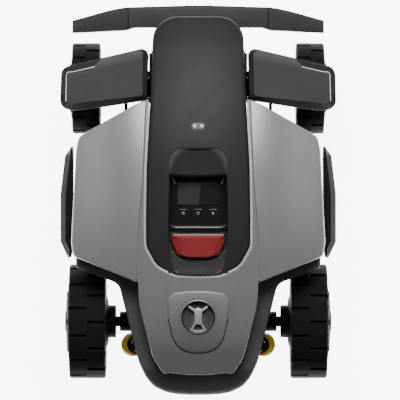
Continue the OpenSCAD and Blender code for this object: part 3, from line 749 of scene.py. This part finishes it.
def make_bumper():
    """The wing-shaped front bumper: a centre bar and a thicker sleeve over each end."""
    front = [(-20, 369.6), (20, 369.6), (135, 366.2), (150, 363.9), (174, 358.8), (238, 341)]
    rear = [(-20, 328.5), (20, 328.5), (125.5, 327.8), (133, 322.9), (238, 318.2)]
    centre = bar("bumper_skin", [-134 + 4 * k for k in range(68)], front, rear, 7, 0)
    for hand, side in SIDES.items():
        xs = [side * (131.2 + 0.9 * k) for k in range(5)] + [side * (137 + 101.3 * k / 36) for k in range(37)]
        bar(f"bumper_sleeve_{hand}", xs, front, rear, 14, 2.6)
    return centre


# ------------------------ fenders, lights and bumpers at the sides

FENDER = resample(rounded([(97.6, 189.5, 6), (93.2, 290, 13), (240, 255.5, 60), (259, 250, 18),
                           (260.5, 176, 17), (238, 169.5, 60), (180, 176.5, 200)], 8), 260)
FENDER_PLATE = resample(rounded([(105.5, 197.5, 6), (104.3, 286.2, 9), (240, 254, 60), (248.6, 250, 14),
                                 (249.5, 184, 8), (238, 183.5, 60), (180, 189.5, 200)], 8), 260)


def fender_top(x, y):
    """The fender's top plate: it falls gently forwards, and rolls over towards its front edge."""
    behind = 286 - 0.238 * (x - 112) - y
    return 236 - 0.05 * (y - 190) - 0.006 * max(0, 20 - behind) ** 2


def make_fender(hand):
    """A fender: a flat top plate that rolls over at the front, with dark bevels on its other sides."""
    middle = (176, 225)
    rim = ray_points(FENDER, FENDER_PLATE, middle)
    shoulder = lowered(FENDER, fender_top, [0.75 * (p - q).length for p, q in zip(FENDER, rim)])
    lower = [level(inset(FENDER, d), z) for d, z in ((7, 193), (3, 192), (0.6, 197), (0, 203))]
    inner = [lift([p.lerp(Vector(middle), k / 12) for p in rim], fender_top) for k in range(12)]
    skin(mirrored(lower + [shoulder] + inner, SIDES[hand]), f"fender_skin_{hand}",
         f"arm_{hand}", "dark_cover", [f"fender_{hand}"], 18, "fender", caps=(False, True))


def ribbon(bm, path, half_w, low, high, side):
    """Adds a flat strip with a rounded top along a path of 2-D points, from height low to high(x, y)."""
    rings = []
    for p, along in zip(path, directions(path)):
        n = Vector((along.y, -along.x))
        ring = []
        for off, up in ((-1, -1), (-1, 0.0), (-0.6, 0.75), (0, 1.0), (0.6, 0.75), (1, 0.0), (1, -1)):
            q = p + n * half_w * off
            z = low if up < 0 else high(q.x, q.y) + up * 0.8
            ring.append(Vector((q.x * side, q.y, z)))
        rings.append(ring)
    bridge(bm, rings, closed=False)


def ordered(path):
    """The points of a piece of an outline in travelling order, from its end with the smaller x."""
    start = max(range(len(path)), key=lambda i: (path[i] - path[i - 1]).length)
    path = path[start:] + path[:start]
    return path if path[0].x < path[-1].x else path[::-1]


def make_fender_light(hand):
    """The thin white light strip round the top plate's outer front corner."""
    bm = bmesh.new()
    inward = smooth([13.0 if p.y > 246 and p.x < 246 else 10.6 for p in FENDER], 6)
    path = ordered([p for p in inset(FENDER, inward) if p.x > 194 and p.y > 187 and (p.y > 230 or p.x > 235)])
    ribbon(bm, path, 0.5, 226, lambda x, y: fender_top(x, y) + 0.5, SIDES[hand])
    finish_piece(bm, f"light_strip_{hand}", f"arm_{hand}", "light_white", [f"fender_light_{hand}"], 60)


def rib_height(x, y):
    """Height of the fender's skin near its outer front corner."""
    return fender_top(x, y) - 0.75 * max(0, x - 248.5)


def make_fender_ribs(hand):
    """Fine cooling ribs outside the light strip, round the outer front corner."""
    bm = bmesh.new()
    for k in range(4):
        d = 1.6 + 2.7 * k
        path = ordered([p for p in inset(FENDER, d) if p.x > 184 + 3 * k and p.y > 222 - 4 * k])
        ribbon(bm, path, 0.75, 215, lambda x, y: rib_height(x, y) + 0.9, SIDES[hand])
    finish_piece(bm, f"fender_ribs_{hand}", f"arm_{hand}", "dark_cover", (), 60, "rib")


def make_rib_bed(hand):
    """The dark band under the ribs, which ends in a point on the front face."""
    outer = ordered([p for p in inset(FENDER, 0.3) if p.x > 182 and p.y > 188])
    inner = ordered([p for p in inset(FENDER, 11.6) if p.x > 196 and p.y > 188 and (p.y > 226 or p.x > 235)])
    count = 60
    rows = []
    for path in (outer, inner):
        pick = [path[min(len(path) - 1, round(k * (len(path) - 1) / (count - 1)))] for k in range(count)]
        rows.append(lift(pick, lambda x, y: rib_height(x, y) + 0.3))
    skin(mirrored(rows, SIDES[hand]), f"rib_bed_{hand}", f"arm_{hand}", "black_plastic", closed=False)


def tube(bm, path, radius, waves=0.0, pitch=5.0, steps=16):
    """Adds a round tube along 3-D points, corrugated by waves millimetres at that pitch."""
    rings, walked = [], 0.0
    for p, before, along in zip(path, path[:1] + path, directions(path)):
        walked += (p - before).length
        u = unit(along.cross(Vector((0.3, 0.2, 1))))
        v = along.cross(u)
        r = radius + waves * cos(tau * walked / pitch)
        rings.append([p + (u * cos(a) + v * sin(a)) * r for a in angles(steps)])
    bridge(bm, rings, caps=(True, True))


def make_cable_boot(hand):
    """The corrugated boot over the cables between the body and a fender, beside the suspension's hinge."""
    side = SIDES[hand]
    bm = bmesh.new()
    path = [Vector((side * (88.8 - 0.035 * k), 188 + k, 203)) for k in range(89)]
    tube(bm, path, radius=2.5, waves=0.6, pitch=7.6)
    flip = Matrix.Scale(side, 4, (1, 0, 0))
    add_box(bm, (83, 277, 199), (88.6, 283.5, 207.5), flip, 1.5)
    add_box(bm, (82, 188, 180), (93, 280, 185), flip, 1.5)
    finish_piece(bm, f"cable_boot_{hand}", "chassis", "black_plastic")


def make_travel_stop(hand):
    """The rod under a fender's rear edge that limits the suspension's travel."""
    side = SIDES[hand]
    bm = bmesh.new()
    tube(bm, [Vector((side * 137, y, 184)) for y in range(120, 194, 2)], 3.2)
    finish_piece(bm, f"travel_stop_{hand}", "chassis", "black_plastic")


def make_side_bumper(hand):
    """A rubber side bumper: a thick strip with a sloping outer face and tapered ends."""
    outline = resample(rounded([(236.5, 92, 0), (237.5, 107.5, 2), (253, 85, 8), (261.5, 12, 80),
                                (261.5, -78, 8), (247, -109, 3), (241, -108, 2), (238, -92, 0)], 6), 160)
    widths = smooth([10.0 if p.x > 248 else 1.5 for p in outline], 4)
    upper = chamfered(outline, lambda x, y: SIDE_BUMPER_Z, widths, [16] * len(outline))
    inner = closing(upper[-1], ((243, 80), (243, -80)), 2, lambda x, y: SIDE_BUMPER_Z)
    low = [level(inset(outline, 5), 150), level(outline, 154)]
    return skin(mirrored(low + upper + inner, SIDES[hand]), f"side_bumper_skin_{hand}",
                f"side_bumper_{hand}", "black_plastic", (), 25)


# ------------------------ wheels

LUGS = 13
# places across a lug as a share of the lugs' pitch, and the share of its height reached there
LUG_STEPS = ((-0.478, 0.0), (-0.452, 0.45), (-0.436, 0.8), (-0.424, 1), (-0.2, 1), (0, 1), (0.2, 1),
             (0.424, 1), (0.436, 0.8), (0.452, 0.45), (0.478, 0.0))


def wheel_place(axle, side):
    """Matrix that takes a wheel built about +Z, outer face up, to its axle."""
    return Matrix.Translation((axle.x * side, axle.y, axle.z)) @ Matrix.Rotation(radians(90 * side), 4, "Y")


def make_tyre(name, body, axle, width, side, bore):
    """A tyre: carcass with rounded sidewalls, and two staggered rows of broad, square-shouldered lugs."""
    base = axle.z - 5.4
    w = width / 2
    place = wheel_place(axle, side)
    bm = bmesh.new()
    half = [(bore, w - 5), (bore + 3, w - 1.5), (bore + 8, w), (bore + 14, w - 0.6), (base - 12, w - 0.2),
            (base - 5, w - 1.2), (base - 1, w - 4), (base, w - 8)]
    turned(bm, [(r, -z) for r, z in half] + half[::-1], place, 96)
    section = [(-1.5, -3), (-1.1, 4.7), (-0.3, 5.2), (w - 5, 5.2), (w - 2.2, 4.6), (w - 0.7, 2.8),
               (w - 0.2, 0.5), (w - 0.2, -10), (w - 1.6, -14)]
    step = tau / LUGS
    for row, flip, extra in ((0, 1, 0), (0.5, -1, 0.2)):
        for i in range(LUGS):
            rings = []
            for frac, rise in LUG_STEPS:
                a = (i + row + frac) * step
                ring = []
                for z, up in section:
                    r = base + extra + (up * rise - (1 - rise) * 2 if up > 0 else up)
                    ring.append(place @ Vector((r * cos(a), r * sin(a), z * flip)))
                rings.append(ring)
            bridge(bm, rings, closed=False)
    finish_piece(bm, name + "_skin", body, "tyre_rubber", [name], 30)


def make_wheel_cap(name, body, axle, width, side, bore):
    """The outer face of a wheel: dished disc, six spokes, a hub cap and a ring of screws."""
    place = wheel_place(axle, side)
    w = width / 2
    bm = bmesh.new()
    turned(bm, [(0, w + 8.5), (bore * 0.22, w + 8.5), (bore * 0.28, w + 7), (bore * 0.3, w + 1),
                (bore * 0.8, w - 5), (bore * 0.86, w + 0.5), (bore * 0.93, w + 2.2), (bore - 0.6, w + 1.6),
                (bore - 0.4, w - 5), (0, w - 8)], place)
    for k in range(6):
        spoke = place @ Matrix.Rotation(tau * k / 6, 4, "Z")
        add_box(bm, (bore * 0.2, -bore * 0.085, w - 5), (bore * 0.88, bore * 0.085, w + 4.6), spoke, 1.6)
    for k in range(6):
        a = tau * (k + 0.5) / 6
        spot = place @ Matrix.Translation((bore * 0.42 * cos(a), bore * 0.42 * sin(a), 0))
        turned(bm, [(0, w + 2.2), (2.6, w + 2.2), (3.2, w + 1.4), (3.4, w - 4), (0, w - 4)], spot, 20)
    finish_piece(bm, name + "_cap", body, "wheel_black", (), 30)


def make_rim_ring(name, body, axle, width, side, bore):
    """The thin dark grey ring that shows between a wheel's spokes."""
    bm = bmesh.new()
    w = width / 2
    turned(bm, [(bore * 0.70, w - 1.5), (bore * 0.715, w - 0.4), (bore * 0.745, w - 1.0),
                (bore * 0.76, w - 2.6), (bore * 0.70, w - 3.5)], wheel_place(axle, side))
    finish_piece(bm, name + "_ring", body, "silver", (), 40, "rim_ring")


def make_wheels():
    """All four wheels, each a tyre, a cap and a ring."""
    for hand, side in SIDES.items():
        for end, axle, width in (("front", FRONT_AXLE, 54), ("rear", REAR_AXLE, 70)):
            body = f"{end}_wheel_{hand}"
            sizes = (axle, width, side, axle.z * 0.66)
            make_tyre(f"tyre_{end}_{hand}", body, *sizes)
            make_wheel_cap(f"rim_{end}_{hand}", body, *sizes)
            make_rim_ring(f"rim_{end}_{hand}", body, *sizes)


# ------------------------ controls

def make_stop_button():
    """The red stop button: a flat top, a bright front bevel and wide dark bevels at its sides."""
    corners = [(51.5, -63, 3), (48.5, -80, 40), (37.5, -103, 16), (18, -108, 40)]
    outline = resample(rounded(both(corners), 6), 200)
    front = [p.y > -65.5 for p in outline]
    widths = smooth([5.0 if f else 2.5 if p.y < -103 else 10.5 for f, p in zip(front, outline)], 5)
    drops = smooth([1.6 if f else 5.0 for f in front], 5)

    def top(x, y):
        return 289.5 - 4.5 * (-62 - y) / 45 - 1.5 * (x / 50) ** 2

    upper = chamfered(outline, top, widths, drops)
    inner = closing(upper[-1], ((-20, -84), (20, -84)), 4, top)
    return skin([level(outline, 276)] + upper + inner, "stop_button_skin", "stop_button", "stop_red", (), 34)


def bezel_top(x, y):
    """The bezel swells out of the deck and falls towards the rear."""
    return crest(y) - 2 + 7 * (1 - ((y - DIAL_Y) / 62) ** 2) - 1.5 * (x / 56) ** 2


def make_bezel():
    """The dial's bezel: a shield-shaped plate with a groove and a lip round the bowl, and a black strip along
    its rear edge that is a painted shadow line.
    """
    outline = resample([Vector((p.x, p.y + DIAL_Y)) for p in
                        rounded(both([(20, 50.8, 0), (57.5, 45.5, 17), (54.8, -5, 120), (45.5, -43, 50),
                                      (30, -61.5, 40), (9, -65.8, 40)]), 10)], 200)
    edge = rolled(outline, bezel_top, 2.4)
    foot = lift(outline, lambda x, y: bezel_top(x, y) - 8)
    last = flat(edge[-1])
    middle = Vector((0, DIAL_Y))
    spokes = [unit(p - middle) for p in last]
    top = annulus(last, [middle + d * BOWL_HOLE for d in spokes], bezel_top, 6)
    lips = []
    for r, up in ((35.6, 0), (35.2, -0.8), (34.4, -0.8), (34.0, 0), (32.8, 0.4), (31.8, -0.2), (31.3, -1.4),
                  (31.2, -14)):
        lips.append(lift([middle + d * r for d in spokes], lambda x, y: bezel_top(x, y) + up))
    # A black strip just outside the bezel's rear edge: a painted shadow line on the deck.
    shadow_path = ordered([p for p in inset(outline, -0.7) if p.y < DIAL_Y])
    shadow_strip = bmesh.new()
    ribbon(shadow_strip, shadow_path, 0.8, 240, lambda x, y: deck_top(x, y) + 0.2, 1)
    finish_piece(shadow_strip, "bezel_painted_shadow", "chassis", "black_plastic")
    skin([foot] + edge + top + lips, "bezel_skin", "chassis", "satin_grey", (), 40, "deck_grey")


def make_bowl():
    """The dark bowl round the dial, with a stepped wall."""
    bm = bmesh.new()
    turned(bm, [(32.2, 292), (31.4, 300), (31, 301), (30.7, 300.4), (30.5, 289), (5.2, 289), (5.2, 287),
                (32.2, 287)], Matrix.Translation((0, DIAL_Y, 0)), 96)
    finish_piece(bm, "dial_bowl", "chassis", "black_plastic", ["dial_bezel"])


def make_ticks():
    """Height marks round the front half of the bowl, every fifth one longer."""
    bm = bmesh.new()
    radius = 38.4
    for k in range(11):
        a = radians(25 + 13 * k)
        x = radius * cos(a)
        y = DIAL_Y + radius * sin(a)
        long = 2.6 if k % 5 == 0 else 1.3
        place = Matrix.Translation((x, y, bezel_top(x, y) + 0.1)) @ Matrix.Rotation(a, 4, "Z")
        add_box(bm, (-1, -0.4, -0.4), (long, 0.4, 0.15), place, 0.1)
    finish_piece(bm, "height_marks", "chassis", "black_plastic")


def make_dial_disc():
    """The dark turning disc under the grip, with concentric ridges."""
    profile = [(0, 297)]
    for k in range(5):
        r = 13 + 3.4 * k
        z = 297 + 0.5 * k
        profile += [(r, z), (r + 1.2, z + 1.2), (r + 2.4, z + 1.4), (r + 2.9, z)]
    profile += [(29.6, 299.5), (30.2, 298), (30.2, 290), (0, 290)]
    bm = bmesh.new()
    turned(bm, profile, Matrix.Translation((0, DIAL_Y, 0)), 96)
    # The disc takes the skirt's lightened cover colour, painted light that lets its ridges show.
    finish_piece(bm, "dial_disc", "dial", "black_plastic", (), 25, "skirt")


def make_grip():
    """The silver grip: a rounded stem that splits into two arms at each end, and its lip at the rear."""
    bm = bmesh.new()
    centre = Vector((0, DIAL_Y, 0))
    for (x0, y0), (x1, y1), wide in (((5.5, 13), (19.2, 22.4), 2.7), ((5, -10), (14.5, -25), 2.2)):
        for side in (-1, 1):
            a, b = Vector((x0 * side, y0)), Vector((x1 * side, y1))
            off = unit(Vector((a.y - b.y, b.x - a.x))) * wide
            corners = [(*(a - off), 0.5), (*(b - off), 2), (*(b + off), 2), (*(a + off), 0.5)]
            arm = resample(rounded(corners, 5), 60)
            rings = pillow(arm, lambda x, y: 306.6 - 0.09 * (hypot(x, y) - 12), 1.6,
                           lambda x, y: 296, ((a.x, a.y), (b.x * 0.9, b.y * 0.9)), 3)
            bridge(bm, moved(rings, centre))
    corners = [(-8.6, 16, 4), (0, 21.5, 9), (8.6, 16, 4), (7, 4, 40), (7, -6, 20), (9, -14, 1.5),
               (0, -12.5, 6), (-9, -14, 1.5), (-7, -6, 20), (-7, 4, 40)]
    rings = pillow(resample(rounded(corners, 6), 120), lambda x, y: 308.2 - 0.004 * (y + 2) ** 2, 2.6,
                   lambda x, y: 296, ((0, -6), (0, 12)), 5)
    bridge(bm, moved(rings, centre))
    finish_piece(bm, "grip_skin", "dial", "silver", ["dial_grip"])
    rear = [radians(d) for d in range(-30, 31, 5)]
    front = [radians(d) for d in range(26, -27, -4)]
    crescent = [Vector((30 * sin(a), -30 * cos(a))) for a in rear]
    crescent += [Vector((24 * sin(a), 4 - 27 * cos(a))) for a in front]
    rings = pillow(resample(crescent, 80), lambda x, y: 302.8 + 0.1 * (y + 30), 2.0, lambda x, y: 298,
                   ((-9, -26), (9, -26)), 3)
    skin(moved(rings, centre), "grip_lip", "dial", "satin_grey")


def make_hood_cheeks():
    """Slim slanted cheeks at the two ends of the step above the display, in a light grey that is a painted
    highlight on the hood's chamfered ends.
    """
    bm = bmesh.new()
    for side in (-1, 1):
        top, low = Vector((side * 49.5, 46, 290.5)), Vector((side * 44, 32, 281.5))
        tube(bm, [top.lerp(low, k / 8) for k in range(9)], 1.7, steps=12)
    finish_piece(bm, "hood_cheeks", "chassis", "silver", material="cheek_painted_highlight")


def stroke(bm, points, z, radius):
    """Adds a thin raised line through 2-D points."""
    tube(bm, [Vector((x, y, z)) for x, y in points], radius, steps=8)


def make_key_icons():
    """Plain line symbols on the three keys: a ring with a bar, a house and a drop, and a line above each."""
    arc = [radians(60 + 24 * k) for k in range(-14, 1)]
    symbols = {
        "left": [[(2.2 * cos(a), 2.2 * sin(a)) for a in arc], [(0, 0.5), (0, 3.0)]],
        "middle": [[(-2.8, 0.2), (0, 2.8), (2.8, 0.2)], [(-1.9, 0.4), (-1.9, -2.2), (1.9, -2.2), (1.9, 0.4)]],
        "right": [[(1.9 * sin(a) * (1 - 0.25 * (1 + cos(a))), 2.2 * cos(a) - 0.2)
                   for a in angles(20) + [tau]]],
    }
    for key, strokes in symbols.items():
        low, high = (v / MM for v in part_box(f"key_{key}"))
        x, y = (low.x + high.x) / 2, (low.y + high.y) / 2 - 3.6
        bm = bmesh.new()
        for points in strokes:
            stroke(bm, [(x + px, y + py) for px, py in points], high.z, 0.36)
        stroke(bm, [(x - 6.5, y + 7.0), (x + 6.5, y + 7.0)], high.z, 0.22)
        # The symbols glow faintly: painted light on printed marks.
        finish_piece(bm, f"key_icon_{key}", f"key_{key}", "light_white", material="icon")


def make_lip():
    """The sloping grey ledge between the control panel and the stop button, with turned-up ends."""
    rows = []
    for y, z in ((-61.5, 268), (-56, 273), (-53.4, 277), (-52.4, 278.2), (-50.8, 278.5), (-48.5, 277.4),
                 (-47.8, 276.4), (-47.4, 273)):
        row = []
        for x in (-51.5 + 103 * k / 48 for k in range(49)):
            turn_up = max(0, (abs(x) - 41) / 10) ** 2
            row.append(Vector((x, y + 3.4 * turn_up, z + 2.2 * turn_up)))
        rows.append(row)
    skin(rows, "lip_bar", "chassis", "silver", ["console_lip"], 50, "lip", closed=False)


def make_glass():
    """The display glass in two halves with a slanted join: the lighter half is a painted reflection, the
    darker half is the glass's own colour.
    """
    low, high = (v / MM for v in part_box("display_window"))
    # The lighter half carries a painted reflection; the darker half is the plain glass.
    bright = ("bright", "glass_painted_reflection", (low.x, 0.4, 5.4, low.x), ((-18, 12), (-17, 14)))
    dark = ("dark", "glass_dark", (0.4, high.x, high.x, 5.4), ((20, 12), (21, 14)))
    for name, material, xs, core in (bright, dark):
        corners = [(x, y, 1.2) for x, y in zip(xs, (low.y, low.y, high.y, high.y))]
        outline = resample(rounded(corners, 4), 60)
        rings = pillow(outline, lambda x, y: high.z + 0.25, 0.4, lambda x, y: high.z - 2, core, 2)
        skin(rings, f"glass_{name}", "chassis", "gloss_black", (), 30, material)


def make_sensor():
    """The rain sensor: a raised pill with two metal contacts, and a drip lip behind it."""
    y0 = (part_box("rain_sensor")[0].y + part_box("rain_sensor")[1].y) / 2 / MM
    pill = resample(rounded([(-13, -6.5, 6.4), (13, -6.5, 6.4), (13, 6.5, 6.4), (-13, 6.5, 6.4)]), 72)
    pill = [Vector((p.x, p.y + y0)) for p in pill]
    rings = pillow(pill, lambda x, y: spine_top(x, y) + 1.3, 1.0, lambda x, y: spine_top(x, y) - 2,
                   ((-6, y0), (6, y0)), 4)
    bm = bmesh.new()
    bridge(bm, rings)
    drip = [Vector((x, y0 - 8.2 + 2.5 * (abs(x) / 12) ** 4, spine_top(x, y0 - 8) + 0.2))
            for x in range(-12, 13, 2)]
    tube(bm, drip, 0.8, steps=10)
    finish_piece(bm, "sensor_pill", "chassis", "sensor_grey", ["rain_sensor"])
    bm = bmesh.new()
    for x in (-6.5, 6.5):
        place = Matrix.Translation((x, y0, spine_top(x, y0)))
        turned(bm, [(0, 2.6), (1.6, 2.4), (2.4, 1.7), (2.6, 0.8), (2.6, 0), (0, 0)], place, 24)
    # The metal contacts glow white: a painted glint.
    finish_piece(bm, "sensor_contacts", "chassis", "light_white", material="contact_painted_glint")


def make_roller_caps():
    """Domed black caps on the amber guide rollers."""
    for hand, side in SIDES.items():
        low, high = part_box(f"roller_tyre_{hand}")
        mid = (low + high) / 2 / MM
        place = Matrix.Translation(mid) @ Matrix.Rotation(radians(-22 * side), 4, "Y")
        bm = bmesh.new()
        turned(bm, [(0, 15.5), (4, 15.2), (8, 14), (11.5, 11.8), (14, 8.6), (14.8, 7.5), (14.8, 6), (0, 6)],
               place, 48)
        finish_piece(bm, f"roller_cap_{hand}", f"guide_roller_{hand}", "gloss_black")


# ------------------------ the CAD nodes that stay

BEVELS = {"cutting_deck": 1.2, "base_pan": 1.5, "battery_pack": 2.0, "nose_fascia": 0.6, "console_panel": 0.8,
          "display_window": 0.4, "controller_board": 0.3, "camera_lenses": 0.3}


def dress_cad_nodes():
    """Gives every remaining CAD node its slot's material, softened edges and smooth shading."""
    slots = {row["node"]: row["material_slot"] for row in frame["record"]["subparts"]}
    for name, node in frame["nodes"].items():
        node.data.materials.clear()
        node.data.materials.append(MATERIALS[slots[name]])
        bevel = node.modifiers.new("soft_edges", "BEVEL")
        bevel.width = BEVELS.get(name, 0.5) * MM
        bevel.segments = 2
        bevel.limit_method = "ANGLE"
        bevel.angle_limit = radians(38)
        weighted = node.modifiers.new("weighted", "WEIGHTED_NORMAL")
        weighted.keep_sharp = True
        node.data.polygons.foreach_set("use_smooth", [True] * len(node.data.polygons))


# ------------------------ room, light and camera

def light_pool(tree, near, far, inside, outside):
    """A strength that is inside on a square of half width near, and falls to outside at far, in metres."""
    parts = tree.nodes.new("ShaderNodeSeparateXYZ")
    feed(tree, parts, Vector=add(tree, "TexCoord", "Object"))
    fall = tree.nodes.new("ShaderNodeMapRange")
    fall.interpolation_type = "SMOOTHSTEP"
    reach = maths(tree, "MAXIMUM", *(maths(tree, "ABSOLUTE", parts.outputs[axis]) for axis in "XY"))
    feed(tree, fall, Value=reach, From_Min=near, From_Max=far, To_Min=inside, To_Max=outside)
    return fall.outputs["Result"]


def make_room():
    """A pale floor that glows round the object, a dim white world and three soft lights."""
    mesh = bpy.data.meshes.new("floor")
    size = 6
    corners = [(-size, -size, 0), (size, -size, 0), (size, size, 0), (-size, size, 0)]
    mesh.from_pydata(corners, [], [(0, 1, 2, 3)])
    floor = new_object("floor", mesh)
    tree, shader = new_material("floor")
    feed(tree, shader, Roughness=0.8, Emission_Color=(1, 1, 1, 1),
         Base_Color=tint(tree, noise(tree, 3, 2), (0.86, 0.86, 0.86), (0.9, 0.9, 0.9)),
         Emission_Strength=light_pool(tree, near=0.4, far=0.7, inside=7.4, outside=0.05))
    mesh.materials.append(MATERIALS["floor"])
    world = bpy.data.worlds.new("studio")
    world.use_nodes = True
    feed(world.node_tree, world.node_tree.nodes["Background"], Color=(1, 1, 1, 1), Strength=0.1)
    bpy.context.scene.world = world
    for name, place, size, power in (("key", (0.0, 2.1, 3.4), 1.8, 180), ("left", (-2.8, 0.5, 1.6), 2.0, 16),
                                     ("right", (2.8, 0.5, 1.6), 2.0, 16)):
        lamp = bpy.data.lights.new(name, "AREA")
        lamp.size = size
        lamp.energy = power
        stand = new_object(name, lamp)
        stand.location = place
        aim = Vector((0, 0, 0.15)) - Vector(place)
        stand.rotation_euler = aim.to_track_quat("-Z", "Y").to_euler()


def make_camera():
    """The camera looks straight down from far above, so the view is almost free of perspective."""
    height = 9.0
    view_width = 0.76
    target = (0.0034, 0.001, 0.17)
    camera = bpy.data.cameras.new("camera")
    camera.sensor_width = 36
    camera.lens = 36 * height / view_width
    camera.clip_end = 50
    stand = new_object("camera", camera)
    stand.location = (target[0], target[1], target[2] + height)
    bpy.context.scene.camera = stand


make_camera()
dress_cad_nodes()
make_spine()
make_trough_floor()
make_deck()
make_edge_trim()
make_skirt()
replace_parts(make_bumper(), "front_bumper")
for hand in SIDES:
    make_side_panel(hand)
    make_fender(hand)
    make_fender_light(hand)
    make_rib_bed(hand)
    make_fender_ribs(hand)
    make_cable_boot(hand)
    make_travel_stop(hand)
    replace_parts(make_side_bumper(hand), f"side_bumper_{hand}")
make_wheels()
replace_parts(make_stop_button(), "stop_button")
make_bezel()
make_bowl()
make_ticks()
make_dial_disc()
make_grip()
make_glass()
make_hood_cheeks()
make_key_icons()
make_lip()
make_sensor()
make_roller_caps()
make_room()
